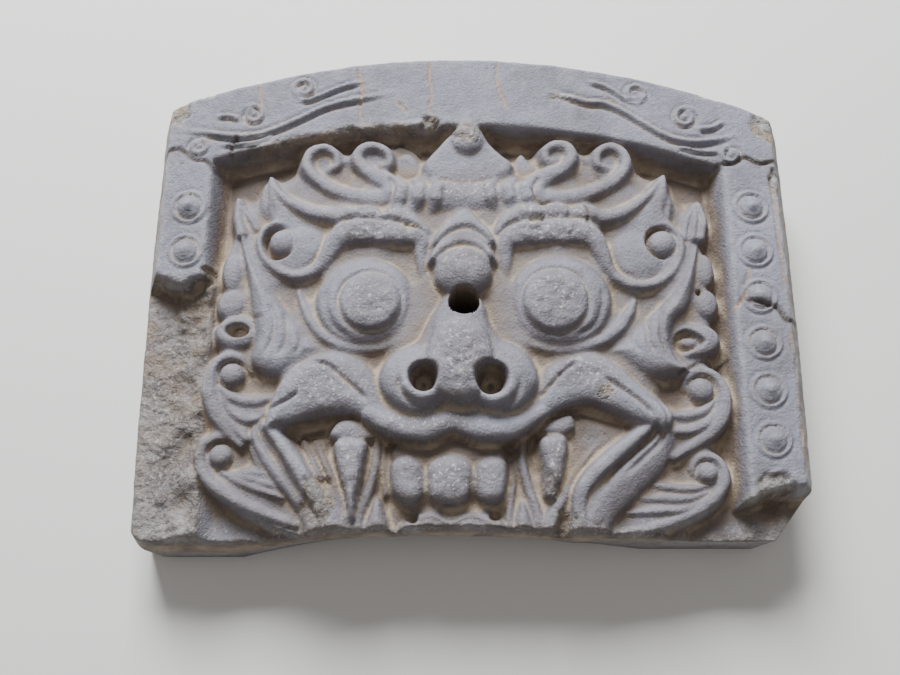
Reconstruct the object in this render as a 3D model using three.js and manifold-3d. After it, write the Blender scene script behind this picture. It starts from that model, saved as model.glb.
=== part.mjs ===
import * as THREE from 'three';
import { mergeVertices } from 'three/addons/utils/BufferGeometryUtils.js';
import Module from 'manifold-3d';

// A fired-clay ridge-end roof tile with a demon face pressed in high relief, lying on its flat back.
// Millimetres, +Z out of the face, +Y to the tile's top, origin in the middle of the flat back.

// Overall sizes of the tile, over its widest points.
const TILE_WIDTH = 300;
const TILE_HEIGHT = 234.6;
// Clay from the flat back to the sunk ground around the face.
const SLAB_THICKNESS = 34;
// How far the raised frame stands over the sunk ground.
const FRAME_RISE = 16;
// Frame: top band, measured down from the crown of the arch, and the two side strips with studs.
const BAND_DEPTH = 36.5;
const LEFT_STRIP_WIDTH = 29;
const RIGHT_STRIP_WIDTH = 31;
// Draft of the frame's inner walls and of the carving's flanks: millimetres of drop in one across.
const WALL_STEEPNESS = 3;
// The same for the walls of small holes such as the nostrils.
const PIT_STEEPNESS = 6;
// The arched top: how far the ends of the arch lie under its crown, and how far it leans over.
const ARCH_SAGITTA = 26;
const ARCH_LEAN = 2.4;
const TOP_CORNER_RADIUS = 11;
// The long sides swell a little in the middle.
const SIDE_SWELL = 1.5;
// The worn foot: a shallow hollow between two bearing ends, undercut behind its front edge, and
// the right end worn shorter than the left.
const FOOT_HOLLOW = 5.5;
const FOOT_HOLLOW_SPAN = 184;
const FOOT_HOLLOW_CENTRE = -13;
const FOOT_UNDERCUT = 6;
const RIGHT_FOOT_LOSS = 3.7;
const RIGHT_FOOT_START = 10;
const RIGHT_FOOT_RUN = 45;
// Corner broken off at the lower right, and the worn lower left one.
const LOST_CORNER_WIDTH = 18;
const WORN_CORNER_RADIUS = 10;
// Heights over the back at which the outer edges begin to slope in towards the front.
const LEFT_EDGE_HEIGHT = 32;
const RIGHT_EDGE_HEIGHT = 38;
const TOP_EDGE_HEIGHT = 46;
const FOOT_EDGE_HEIGHT = 38;
// The left end of the foot is worn lower.
const LEFT_FOOT_WEAR = 14;
const LEFT_FOOT_WEAR_WIDTH = 78;
// Where the two strips are broken off, measured down from the crown of the arch.
const LEFT_STRIP_LENGTH = 114;
const RIGHT_STRIP_LENGTH = 213;
// Surface left where the left strip was lost: its height at the inner side and its fall outwards.
const FRACTURE_HEIGHT = 40;
const FRACTURE_SLOPE = 0.42;
// Studs on the strips: a dome in a ring.
const STUD_DIAMETER = 9.6;
const STUD_RISE = 4.2;
const STUD_RING_DIAMETER = 15.5;
const STUD_RING_RISE = 1.3;
const STUD_RING_WIDTH = 1.8;
const STUD_PITCH = 21.9;
const FIRST_STUD_FROM_CROWN = 79.8;
// Scrolls pressed into the top band: half the width of their line, and its depth.
const SCROLL_WIDTH = 1.5;
const SCROLL_DEPTH = 1.4;
// Nail hole under the forehead boss, right through the clay.
const NAIL_HOLE_DIAMETER = 14;
const NAIL_HOLE_X = -3;
const NAIL_HOLE_FROM_CROWN = 130.3;
// Height of the nose tip over the sunk ground; the rest of the carving is proportioned to it.
const NOSE_RISE = 39;
// Facets: their number once thinned, the cells along one side of the first grid, and how much a
// long edge counts against being closed.
const FACET_LIMIT = 9400;
const GRID_CELLS = 256;
const EDGE_LENGTH_PENALTY = 0.0005;

// The carving is drawn in a field of its own units, stretched over the tile's field: the size of
// the drawn field, the rise of the nose in it, and where its middle and its foot lie.
const DRAWING = { across: 240, up: 198.1, nose: 39, middle: -1, foot: -117.3 };

// Derived places.
const HALF_WIDTH = TILE_WIDTH / 2;
const HALF_HEIGHT = TILE_HEIGHT / 2;
const FRAME_HEIGHT = SLAB_THICKNESS + FRAME_RISE;
const FIELD_LEFT = -HALF_WIDTH + LEFT_STRIP_WIDTH;
const FIELD_RIGHT = HALF_WIDTH - RIGHT_STRIP_WIDTH;
const FIELD_CENTRE = (FIELD_LEFT + FIELD_RIGHT) / 2;
const SHARE_X = (FIELD_RIGHT - FIELD_LEFT) / DRAWING.across;
const SHARE_Y = (TILE_HEIGHT - BAND_DEPTH) / DRAWING.up;
const SHARE_Z = NOSE_RISE / DRAWING.nose;
const LEFT_STUD_X = -HALF_WIDTH + LEFT_STRIP_WIDTH * 0.68;
const RIGHT_STUD_X = HALF_WIDTH - RIGHT_STRIP_WIDTH * 0.63;
const NAIL_HOLE_Y = HALF_HEIGHT - NAIL_HOLE_FROM_CROWN;
const LEFT_STRIP_END = HALF_HEIGHT - LEFT_STRIP_LENGTH;
const RIGHT_STRIP_END = HALF_HEIGHT - RIGHT_STRIP_LENGTH;

// The outline, as the top and the foot over x and the two sides over a share of the height.
function archAt(x) {
  const reach = x / (HALF_WIDTH - 15);
  return HALF_HEIGHT - ARCH_SAGITTA * reach * reach - ARCH_LEAN * reach;
}

function roundedLoss(distanceIn, radius) {
  const t = Math.min(1, Math.max(0, 1 - distanceIn / radius));
  return radius * (1 - Math.sqrt(1 - t * t));
}

function topAt(x) {
  return archAt(x) - 1.1 * roundedLoss(HALF_WIDTH - Math.abs(x), TOP_CORNER_RADIUS);
}

function footHollowAt(x) {
  const across = (x - FOOT_HOLLOW_CENTRE) / (FOOT_HOLLOW_SPAN / 2);
  return Math.max(0, 1 - across * across);
}

function footAt(x) {
  const hollow = FOOT_HOLLOW * footHollowAt(x);
  const lossStart = Math.min(1, Math.max(0, (x - RIGHT_FOOT_START) / RIGHT_FOOT_RUN));
  const corner = Math.max(0, x - (HALF_WIDTH - LOST_CORNER_WIDTH));
  const worn = x < 0 ? roundedLoss(HALF_WIDTH + x, WORN_CORNER_RADIUS) : 0;
  return -HALF_HEIGHT + Math.max(hollow, RIGHT_FOOT_LOSS * lossStart) + 1.25 * corner + worn;
}

function sideAt(share) {
  const fromMiddle = 2 * share - 1;
  return HALF_WIDTH - SIDE_SWELL * fromMiddle * fromMiddle;
}

// The grid over the tile: place and height of every point, heights being carved below.
const GRID_POINTS = GRID_CELLS + 1;
const gridX = new Float64Array(GRID_POINTS * GRID_POINTS);
const gridY = new Float64Array(GRID_POINTS * GRID_POINTS);
const height = new Float64Array(GRID_POINTS * GRID_POINTS).fill(SLAB_THICKNESS);
for (let row = 0; row < GRID_POINTS; row += 1) {
  for (let column = 0; column < GRID_POINTS; column += 1) {
    const up = row / GRID_CELLS;
    const x = sideAt(up) * (2 * column / GRID_CELLS - 1);
    const foot = footAt(x);
    gridX[row * GRID_POINTS + column] = x;
    gridY[row * GRID_POINTS + column] = foot + (topAt(x) - foot) * up;
  }
}

// Drawing co-ordinates of the grid: the carving is drawn on them, so that it follows the field.
const drawnX = gridX.map((x) => (x - FIELD_CENTRE) / SHARE_X + DRAWING.middle);
const drawnY = gridY.map((y) => (y + HALF_HEIGHT) / SHARE_Y + DRAWING.foot);

function smoothMax(a, b, blend) {
  const h = Math.max(blend - Math.abs(a - b), 0) / blend;
  return Math.max(a, b) + h * h * blend / 4;
}

function curveThrough(points, closed) {
  const flat = points.map(([x, y]) => new THREE.Vector3(x, y, 0));
  const curve = new THREE.CatmullRomCurve3(flat, closed, 'centripetal');
  return curve.getPoints(points.length * 5).map((p) => [p.x, p.y]);
}

// Distance from (x, y) to a polyline, and how far along it the nearest place lies.
function nearest(line, x, y) {
  let best = Infinity;
  let along = 0;
  for (let i = 0; i < line.length - 1; i += 1) {
    const [ax, ay] = line[i];
    const dx = line[i + 1][0] - ax;
    const dy = line[i + 1][1] - ay;
    const length2 = dx * dx + dy * dy;
    const t = length2 > 0 ? Math.min(1, Math.max(0, ((x - ax) * dx + (y - ay) * dy) / length2)) : 0;
    const distance = Math.hypot(x - ax - t * dx, y - ay - t * dy);
    if (distance < best) {
      best = distance;
      along = (i + t) / (line.length - 1);
    }
  }
  return { distance: best, along };
}

function isInside(line, x, y) {
  let inside = false;
  for (let i = 0; i < line.length - 1; i += 1) {
    const [ax, ay] = line[i];
    const [bx, by] = line[i + 1];
    if ((ay > y) !== (by > y) && x < ((bx - ax) * (y - ay)) / (by - ay) + ax) inside = !inside;
  }
  return inside;
}

function valueAlong(values, along) {
  const place = along * (values.length - 1);
  const i = Math.min(values.length - 2, Math.floor(place));
  return values[i] + (values[i + 1] - values[i]) * (place - i);
}

// Visits the grid points that lie within a margin of a line, in drawing co-ordinates.
function visit(line, margin, change) {
  const xs = line.map((p) => p[0]);
  const ys = line.map((p) => p[1]);
  const low = [Math.min(...xs) - margin, Math.min(...ys) - margin];
  const high = [Math.max(...xs) + margin, Math.max(...ys) + margin];
  for (let i = 0; i < height.length; i += 1) {
    const x = drawnX[i];
    const y = drawnY[i];
    if (x > low[0] && x < high[0] && y > low[1] && y < high[1]) change(i, x, y);
  }
}

function raise(i, rise, blend) {
  height[i] = smoothMax(height[i], SLAB_THICKNESS + rise * SHARE_Z, blend);
}

// A rounded ridge along a curve; half widths and rises over the ground are given along it.
function ridge(points, widths, rises, blend = 1, drop = null) {
  const line = curveThrough(points, false);
  const margin = Math.max(...widths) + Math.max(...rises) / WALL_STEEPNESS + 2;
  visit(line, margin, (i, x, y) => {
    const { distance, along } = nearest(line, x, y);
    const width = valueAlong(widths, along);
    const q = Math.min(1, distance / width);
    const fall = (drop ?? width * 0.8) * (1 - Math.sqrt(1 - q * q));
    raise(i, valueAlong(rises, along) - fall - Math.max(0, distance - width) * WALL_STEEPNESS, blend);
  });
}

// A dome or a low button, falling by drop to its rim and steeply outside it.
function dome(cx, cy, rx, ry, rise, drop, blend) {
  const reach = Math.max(rx, ry) + rise / WALL_STEEPNESS + 2;
  visit([[cx, cy]], reach, (i, x, y) => {
    const q = Math.hypot((x - cx) / rx, (y - cy) / ry);
    const distance = Math.hypot(x - cx, y - cy);
    const beyond = q > 1 ? distance - distance / q : 0;
    const fall = drop * (1 - Math.sqrt(Math.max(0, 1 - q * q)));
    raise(i, rise - fall - beyond * WALL_STEEPNESS, blend);
  });
}

// A pad with a rounded edge and the outline of a closed curve; its top may be tilted.
function slab(points, rise, edge, drop, blend, tiltX = 0, tiltY = 0) {
  const line = curveThrough(points, true);
  const middleX = points.reduce((sum, p) => sum + p[0], 0) / points.length;
  const middleY = points.reduce((sum, p) => sum + p[1], 0) / points.length;
  visit(line, rise / WALL_STEEPNESS + 3, (i, x, y) => {
    const { distance } = nearest(line, x, y);
    const top = rise + tiltX * (x - middleX) + tiltY * (y - middleY);
    if (isInside(line, x, y)) {
      const q = Math.max(0, 1 - distance / edge);
      raise(i, top - drop * (1 - Math.sqrt(1 - q * q)), blend);
    } else {
      raise(i, top - drop - distance * WALL_STEEPNESS, blend);
    }
  });
}

// A hollow with a flat floor, sunk inside a closed curve.
function hollow(points, rise) {
  const line = curveThrough(points, true);
  visit(line, 1, (i, x, y) => {
    if (!isInside(line, x, y)) return;
    const wall = height[i] - nearest(line, x, y).distance * WALL_STEEPNESS;
    height[i] = Math.min(height[i], Math.max(SLAB_THICKNESS + rise * SHARE_Z, wall));
  });
}

// A round or oval hole with a flat floor.
function pit(cx, cy, rx, ry, rise) {
  visit([[cx, cy]], Math.max(rx, ry), (i, x, y) => {
    const q = Math.hypot((x - cx) / rx, (y - cy) / ry);
    if (q >= 1) return;
    const inward = Math.min(rx, ry) * (1 - q);
    const wall = height[i] - inward * PIT_STEEPNESS;
    height[i] = Math.min(height[i], Math.max(SLAB_THICKNESS + rise * SHARE_Z, wall));
  });
}

// A groove pressed along a curve into whatever is there.
function groove(points, width, depth) {
  const line = curveThrough(points, false);
  visit(line, width, (i, x, y) => {
    const q = Math.min(1, nearest(line, x, y).distance / width);
    height[i] -= depth * SHARE_Z * (1 - q * q) ** 1.5;
  });
}

// The highest or lowest place within a reach of every grid point.
function spread(values, reach, pick) {
  const across = Math.floor((reach * SHARE_X * GRID_CELLS) / TILE_WIDTH);
  const up = Math.floor((reach * SHARE_Y * GRID_CELLS) / TILE_HEIGHT);
  const result = values.slice();
  for (let rows = -up; rows <= up; rows += 1) {
    const columns = Math.floor(across * Math.sqrt(1 - (rows / up) ** 2));
    for (let n = 0; n < result.length; n += 1) {
      const column = n % GRID_POINTS;
      const row = Math.min(GRID_CELLS, Math.max(0, (n - column) / GRID_POINTS + rows));
      const first = row * GRID_POINTS;
      const last = Math.min(GRID_CELLS, column + columns);
      for (let c = Math.max(0, column - columns); c <= last; c += 1) {
        result[n] = pick(result[n], values[first + c]);
      }
    }
  }
  return result;
}

function softened(values) {
  return values.map((value, n) => {
    const column = n % GRID_POINTS;
    const row = (n - column) / GRID_POINTS;
    const left = column > 0 ? values[n - 1] : value;
    const right = column < GRID_CELLS ? values[n + 1] : value;
    const under = row > 0 ? values[n - GRID_POINTS] : value;
    const over = row < GRID_CELLS ? values[n + GRID_POINTS] : value;
    return (left + right + under + over + 2 * value) / 6;
  });
}

// Fills gaps narrower than twice the reach till they are no deeper than given, under a line.
function easeCreases(reach, deepest, below) {
  const level = spread(spread(height, reach, Math.max), reach, Math.min);
  const floor = softened(softened(softened(level)));
  for (let i = 0; i < height.length; i += 1) {
    const eased = smoothMax(height[i], floor[i] - deepest * SHARE_Z, 1.6);
    const share = Math.min(1, Math.max(0, (below - drawnY[i]) / 4));
    height[i] += (eased - height[i]) * share;
  }
}

// A groove pressed round a circle, such as the rim of a pupil.
function ring([cx, cy], radius, width, depth) {
  visit([[cx, cy]], radius + width, (i, x, y) => {
    const q = Math.min(1, Math.abs(Math.hypot(x - cx, y - cy) - radius) / width);
    height[i] -= depth * SHARE_Z * (1 - q * q) ** 1.5;
  });
}

// Carving of the face. Points are x, y in drawing co-ordinates, rises are over the sunk ground.
function faceGround() {
  slab([[-84, 2], [-72, 38], [-45, 50], [0, 56], [42, 50], [70, 38], [84, 2], [82, -26], [90, -50],
    [96, -70], [86, -90], [70, -106], [62, -124], [-66, -124], [-76, -106], [-92, -86], [-98, -66],
    [-88, -46], [-80, -26]], 8, 10, 6, 2);
  dome(-4, -8, 84, 58, 14, 6, 3);
}

function crest() {
  slab([[-1, 90], [5, 79], [9, 71.5], [15, 65], [20, 60], [18, 54], [8, 50], [-2, 44], [-10, 49],
    [-19, 53], [-21, 60], [-16, 67], [-11, 73], [-6, 79]], 17, 3.5, 3, 1);
  dome(-1, 71, 7.5, 7, 22, 6, 4);
  slab([[-54, 62], [-52, 70], [-44, 75], [-35, 75.5], [-27, 72], [-22, 64], [-24, 56], [-40, 56]],
    6, 3, 2, 1);
  slab([[-37, 58], [-35, 66], [-30, 69.5], [-25.5, 66.5], [-23, 60], [-25, 54], [-33, 53]], 9, 3.5, 3, 1);
  slab([[17, 60], [21, 64], [25, 69], [29, 64], [33, 59], [30, 54], [21, 53]], 9, 3, 2.5, 1);
}

function hornLeft() {
  slab([[-42, 45], [-52, 46], [-61, 48.5], [-67, 51.5], [-60, 56], [-62, 64], [-70, 68], [-77, 64],
    [-78.5, 57], [-73, 49], [-64, 43.5], [-52, 40], [-42, 38.5]], 12, 3, 3, 1);
  ridge([[-38, 41.5], [-48, 42], [-57, 44], [-65, 47.5], [-72, 52.5], [-76.5, 59], [-75, 66], [-69, 69],
    [-63.5, 66], [-62.5, 60], [-66.5, 57.5]], [3.6, 3.4, 3.1, 2.9, 2.6, 2.4, 2.2, 2, 1.9, 1.8, 1.6],
    [19, 18, 17.5, 17, 17, 17, 16.5, 16, 15.5, 15, 14], 0.8, 1.6);
  slab([[-36, 52], [-42, 56], [-41, 64], [-46, 68], [-52, 65], [-54, 59], [-48, 52], [-42, 47]],
    12, 3, 3, 1);
  ridge([[-34, 44], [-38, 49.5], [-44.5, 53.5], [-50, 58], [-53, 63.5], [-50, 68.5], [-44, 69.5],
    [-38.5, 66], [-38, 60.5], [-42.5, 59.5]], [6.5, 4.4, 3.4, 2.9, 2.5, 2.3, 2.1, 2, 1.8, 1.6],
    [20, 19, 18, 17.5, 17, 16.5, 16, 15.5, 15, 14], 0.8, 1.6);
  ridge([[-2, 41], [-14, 41.5], [-26, 42], [-36, 43.5]], [9, 9.5, 9, 7.5], [21, 22, 21.5, 20], 1, 9);
  for (const x of [-16, -24.5, -32.5]) {
    ridge([[x - 3, 31.5], [x, 39], [x + 1, 45], [x - 1, 51]], [1.5, 2.4, 2.4, 1.4], [17, 23, 23, 16],
      0.4, 2);
    groove([[x - 5, 32], [x - 2.6, 39], [x - 1.6, 45], [x - 3.6, 52]], 1.6, 2.2);
  }
}

function hornRight() {
  slab([[37, 45], [46, 46], [57, 48], [63, 52], [58, 57], [60, 66], [67, 70], [74, 66], [76, 58],
    [70, 49], [60, 43], [50, 40], [38, 38.5]], 12, 3, 3, 1);
  ridge([[34, 41.5], [44, 42], [54, 44.5], [62, 48], [69, 52.5], [73.5, 59], [72.5, 66], [67, 69.5],
    [61.5, 67], [60.5, 61], [65, 58.5]], [3.6, 3.4, 3.2, 3, 2.8, 2.5, 2.3, 2.1, 2, 1.8, 1.6],
    [19, 18, 17.5, 17, 17, 17, 16.5, 16, 15.5, 15, 14], 0.8, 1.6);
  slab([[31, 52], [38, 57], [36, 65], [43, 71], [50, 66], [49, 59], [42, 53], [36, 46]], 12, 3, 3, 1);
  ridge([[27.5, 43], [32, 50], [38.5, 54.5], [45, 58.5], [48.5, 64], [46, 69.5], [40.5, 70.5],
    [36, 67], [37, 62], [41.5, 62.5]], [6.5, 4.4, 3.4, 3, 2.7, 2.4, 2.2, 2, 1.8, 1.6],
    [20, 19, 18, 17.5, 17, 16.5, 16, 15.5, 15, 14], 0.8, 1.6);
  ridge([[-4, 41], [8, 41], [20, 41.5], [30, 43]], [9, 9.5, 9, 7.5], [21, 22, 21.5, 20], 1, 9);
  for (const x of [10, 19, 27]) {
    ridge([[x + 3, 31.5], [x, 39], [x - 1, 45], [x + 2, 51]], [1.5, 2.4, 2.4, 1.4], [17, 23, 23, 16],
      0.4, 2);
    groove([[x + 5, 32], [x + 2.6, 39], [x + 1.6, 45], [x + 4.6, 52]], 1.6, 2.2);
  }
}

function browLeft() {
  slab([[-94, 54], [-90, 45], [-81, 38], [-70, 34], [-58, 33], [-54, 24], [-62, 16], [-68, 6], [-76, 1.5],
    [-84, 2], [-92, 7], [-97, 16], [-97, 24], [-92, 31], [-91, 36], [-94, 44]], 15, 4, 3, 1);
  dome(-76, 15, 12, 12, 18, 4, 3);
  ridge([[-93.5, 54], [-89.5, 46], [-82, 39], [-72, 34], [-62, 32.5], [-54, 32]],
    [1, 1.8, 2.6, 3.2, 3.6, 3.6], [13, 16, 18, 20, 21, 22], 1, 2.4);
  dome(-59, 31.3, 7, 4, 22, 3.5, 0.8);
  dome(-47.5, 31.6, 7, 4.4, 23.5, 3.5, 0.3);
  dome(-34.5, 29.6, 8.5, 4.4, 24.5, 3.5, 0.3);
  ridge([[-34, 29.5], [-27, 27.5], [-20.5, 23]], [4.2, 4, 3], [24, 24, 23], 0.6, 3);
  ridge([[-21.5, 17], [-25, 20.5], [-32, 22.2], [-40, 23], [-48, 23.4], [-55, 22.6], [-60.5, 19.5],
    [-64, 14], [-67, 8.5], [-71.5, 4.8], [-77, 3], [-83, 3.8], [-89.5, 7.5], [-94.5, 13.5],
    [-96.5, 20], [-94.5, 26.5], [-89, 30], [-83, 28.5]],
    [3.4, 4.6, 5.4, 5.8, 5.8, 5.8, 5.4, 4.4, 3.4, 2.8, 2.4, 2.3, 2.1, 1.9, 1.8, 1.6, 1.5, 1.2],
    [23, 24.5, 25, 25, 25, 24.5, 23.5, 22, 20.5, 19.5, 19, 18.5, 18, 17.5, 17, 16.5, 16, 15], 0.6, 3);
  ridge([[-22.5, 19], [-21.8, 8], [-20.6, -2], [-19, -11]], [3.4, 2.4, 1.8, 1], [23, 22, 20, 18], 1, 2);
  groove([[-19, 21], [-25, 24.5], [-32, 26.7], [-40, 28], [-48, 28.8], [-56, 28.8], [-62, 26], [-66, 20.5],
    [-68.5, 14], [-72, 9], [-77, 6.5]], 1.5, 3);
}

function browRight() {
  slab([[92, 55], [86, 46], [77, 38], [68, 33.5], [58, 33], [52, 24], [59, 15], [64, 4], [70, -1.5],
    [78, -3], [87, -1], [94, 6], [98, 15], [98, 24], [94, 31], [91, 36], [93, 45]], 15, 4, 3, 1);
  dome(76, 13, 12, 12, 18, 4, 3);
  ridge([[91.5, 55], [85, 46], [77, 38.5], [69, 33.5], [61, 31.5], [54, 32]],
    [1, 1.8, 2.6, 3.2, 3.6, 3.6], [13, 16, 18, 20, 21, 22], 1, 2.4);
  dome(53, 32.4, 7.5, 4.6, 23, 3.5, 0.3);
  dome(40, 33.2, 7, 4.6, 23.5, 3.5, 0.3);
  dome(28, 32, 7, 4.4, 24, 3.5, 0.3);
  ridge([[30, 31.8], [23, 31], [17, 28], [12.5, 22]], [4, 4, 3.8, 2.6], [24, 24, 24, 23], 0.6, 3);
  ridge([[15, 14], [18, 19.5], [24, 22], [32, 22.8], [41, 23.4], [50, 23], [56, 19.5], [59.5, 13],
    [62, 7], [66, 2], [71.5, -1], [78, -1.8], [85, 0], [91.5, 5], [95.5, 11.5], [97.2, 19],
    [95.2, 26], [90, 29.6], [84.5, 28.5]],
    [3.4, 4.8, 5.6, 6, 6, 5.8, 5, 4, 3, 2.6, 2.4, 2.2, 2.1, 2, 1.9, 1.8, 1.6, 1.5, 1.2],
    [23, 24.5, 25, 25, 25, 24.5, 23.5, 22, 20.5, 19.5, 19, 18.5, 18, 17.5, 17, 16.5, 16, 15.5, 15],
    0.6, 3);
  ridge([[16, 16], [15.5, 8], [15, 0], [14, -8]], [3.6, 3, 2.4, 1.4], [23, 22, 20, 18], 1, 2);
  groove([[12, 19.5], [16, 24], [21, 26.5], [28, 27.6], [36, 28.6], [45, 29], [53, 28.8], [59, 27],
    [62.5, 21], [64, 14], [66.5, 8], [71, 3.8], [77, 2]], 1.5, 3);
}

function tufts() {
  slab([[-96, 53], [-98.5, 46], [-98, 38], [-94, 32], [-88, 31], [-84, 33], [-88, 41], [-92, 48]],
    11, 3.5, 3, 1);
  ridge([[-93.5, 51], [-93, 42], [-91, 33]], [0.9, 1.5, 1.6], [10, 13, 13], 0.6, 1);
  ridge([[-91, 47], [-88.5, 40], [-86, 34]], [0.9, 1.4, 1.6], [11, 13.5, 14], 0.6, 1);
  slab([[-110, 47], [-112, 38], [-111, 29], [-108, 22], [-102, 24], [-97, 31], [-101, 37], [-106, 42]],
    8, 3.5, 3, 1);
  ridge([[-109, 44], [-108.5, 35], [-106, 26]], [0.9, 1.6, 2], [9, 11.5, 13], 0.6, 1);
  ridge([[-107, 41], [-103, 35], [-99, 29]], [0.8, 1.3, 1.4], [9, 10.5, 11], 0.6, 1);
  slab([[91, 54], [86, 44], [84, 34], [89, 31], [95, 33], [96.5, 42], [94, 49]], 11, 3.5, 3, 1);
  ridge([[91.5, 51], [89, 42], [87, 33]], [0.9, 1.5, 1.6], [10, 13, 13.5], 0.6, 1);
  ridge([[92.5, 50], [93, 41], [91.5, 33]], [0.9, 1.5, 1.6], [10, 13, 13], 0.6, 1);
  slab([[108.5, 45], [102, 39], [96, 31.5], [98, 25], [105, 21], [111, 24], [112.5, 33], [111.5, 40]],
    8, 3.5, 3, 1);
  for (const x of [101.5, 105.5, 109.5]) {
    ridge([[107.5 + (x - 105.5) * 0.3, 42], [x, 33], [x - 2, 24]], [0.8, 1.4, 1.5], [9, 11.5, 12.5],
      0.6, 1);
  }
}

function forehead() {
  dome(-2.5, 12, 15, 22, 21, 4, 3);
  slab([[-2, 33.5], [-8, 29.5], [-13.5, 22.5], [-16, 15.5], [-11, 20], [-2.5, 24.5], [5, 21], [10.5, 15.5],
    [8, 22.5], [3.5, 28.5]], 26, 2.4, 2, 0.4, 0, -0.3);
  slab([[-2.5, 22], [-9.5, 19.5], [-15.5, 13.5], [-17.5, 7], [-11, 12.5], [-3, 15.5], [4, 13],
    [10, 7.5], [8, 14], [4, 18.5]], 27.5, 2.2, 2, 0.4, 0, -0.3);
  dome(-3.5, 1.5, 13, 12, 33, 10, 0.5);
}

function eye(x, y, r, lid) {
  dome(x - 2.4 * lid, y + 1, r + 9.6, r + 8, 25.5, 8.5, 0.6);
  dome(x, y - 1.5, r + 0.6, r + 0.6, 29.5, 6, 0.2);
  ring([x, y - 1.5], r + 1.3, 1.3, 1.9);
}

function lids() {
  slab([[-77, -4], [-74, -12], [-70, -19.5], [-64, -26], [-56, -30], [-47, -31.2], [-38, -30.5],
    [-29, -27], [-22, -20], [-17, -12], [-22, 4], [-27, 12], [-46, 15], [-60, 12], [-68, 3]],
    14, 3, 2, 1);
  ridge([[-77.5, -4], [-74.5, -12], [-70.5, -20], [-64.5, -26.5], [-56, -31], [-47, -32.2], [-38, -31.2],
    [-29, -27.5], [-22, -21], [-17, -14]], [0.9, 1.4, 1.8, 2, 2.1, 2.1, 2, 1.9, 1.7, 1.3],
    [16, 18.5, 20, 20.5, 21, 21, 21, 21, 21, 20], 1.6, 1.2);
  slab([[74, -8], [71.5, -14], [66, -21], [60, -26], [52, -29.5], [42, -31.5], [33, -31], [25, -28.5],
    [18, -25], [12, -19], [16, 2], [22, 12], [40, 14], [54, 11], [64, -1]], 14, 3, 2, 1);
  ridge([[74, -8], [71.5, -14], [66.5, -21.5], [60, -27], [52, -30.5], [42, -32.5], [33, -32],
    [25, -29.5], [18, -26], [11.5, -20]], [0.9, 1.8, 2.2, 2.2, 2.1, 2.1, 2, 1.9, 1.7, 1.3],
    [16, 18.5, 20, 20.5, 21, 21, 21, 21, 21, 20], 1.6, 1.2);
}

function nose() {
  slab([[-14, -14], [-19, -21], [-23, -29], [-31, -34], [-37, -39], [-40, -47], [-38, -54], [-33, -59.5],
    [-26, -62.5], [-19, -61.5], [-14, -58.5], [-6, -57.5], [0, -59], [6, -62], [12, -63], [20, -60.5],
    [26, -54.5], [29, -47], [27, -39], [21, -32.5], [13, -28], [8, -20], [6, -14]], 29, 12, 8, 3);
  dome(-22.5, -47.5, 16, 14.5, 32.5, 9, 4);
  dome(11.5, -47.5, 16.5, 14.5, 32.5, 9, 4);
  dome(-5, -40, 14, 18, 37.5, 7, 6);
  ridge([[-4, -17], [-4.5, -28]], [11, 13], [30, 34], 4);
}

function lips() {
  slab([[-86, -54], [-82, -46], [-76, -40], [-68, -35.5], [-60, -34], [-50, -36.5], [-43, -42],
    [-39.5, -49], [-36, -57], [-30, -62], [-20, -63.5], [-8, -60], [4, -63.5], [16, -63.5],
    [24, -59], [29, -50], [31.5, -42], [40, -36.5], [50, -34], [58, -35.5], [66, -41], [74, -49],
    [82, -55], [87, -62], [84, -68], [74, -65.5], [62, -60], [50, -56.5], [38, -60], [28, -67],
    [12, -72], [-8, -68.5], [-24, -73], [-38, -69.5], [-50, -61.5], [-60, -60.5], [-72, -63], [-88, -68]],
    22.5, 7, 5, 1.5);
  ridge([[-44, -62], [-34, -66.5], [-20, -69], [-8, -65.5], [4, -68.5], [18, -67.5], [30, -61]],
    [3.4, 4.4, 4.8, 4.4, 4.8, 4.4, 3.4], [23, 24.5, 25.5, 25, 25.5, 24.5, 23], 3, 4);
}

function cheeks() {
  slab([[-84, -52], [-93, -58], [-98, -68], [-95, -80], [-86, -92], [-74, -104], [-66, -124],
    [-50, -124], [-60, -106], [-70, -92], [-80, -78], [-88, -66], [-78, -60]], 17, 14, 8, 1.5);
  slab([[76, -51], [84, -54.5], [89, -62], [90, -71], [84, -84], [72, -96], [60, -108], [54, -124],
    [42, -124], [43, -99], [50, -88], [64, -75], [76, -66], [68, -58]], 17, 14, 8, 1.5);
}

function mouth() {
  hollow([[-86, -66], [-76, -64.5], [-66, -63], [-60, -61.5], [-50, -62.5], [-42, -69.5], [-32, -72],
    [-20, -74], [-8, -69.5], [4, -73.5], [14, -73], [24, -69.5], [36, -60], [46, -57.5], [56, -60],
    [64, -63], [76, -66.5], [62, -77], [50, -88], [46, -96], [44, -104], [42, -116], [-58, -116],
    [-62, -104], [-68, -94], [-74, -84], [-80, -76]], 7);
  slab([[46, -58], [57, -62], [75, -67], [60, -78], [48, -89], [41, -97], [39, -78]], 12, 5, 5, 1);
  ridge([[-88, -66.5], [-81, -75], [-74.5, -84], [-68, -94], [-62, -103], [-57, -113]],
    [1.6, 2.4, 2.6, 3, 3.6, 4.4], [19, 20, 20, 19.5, 18, 16], 0.8, 1.4);
  ridge([[77, -66.5], [68, -73.5], [59, -81], [51, -88.5], [46.5, -95], [46, -104], [46, -113]],
    [1.8, 2.4, 2.6, 2.8, 2.8, 2.8, 3.4], [19, 20, 20, 20, 19, 17, 16], 0.8, 1.4);
}

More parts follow.
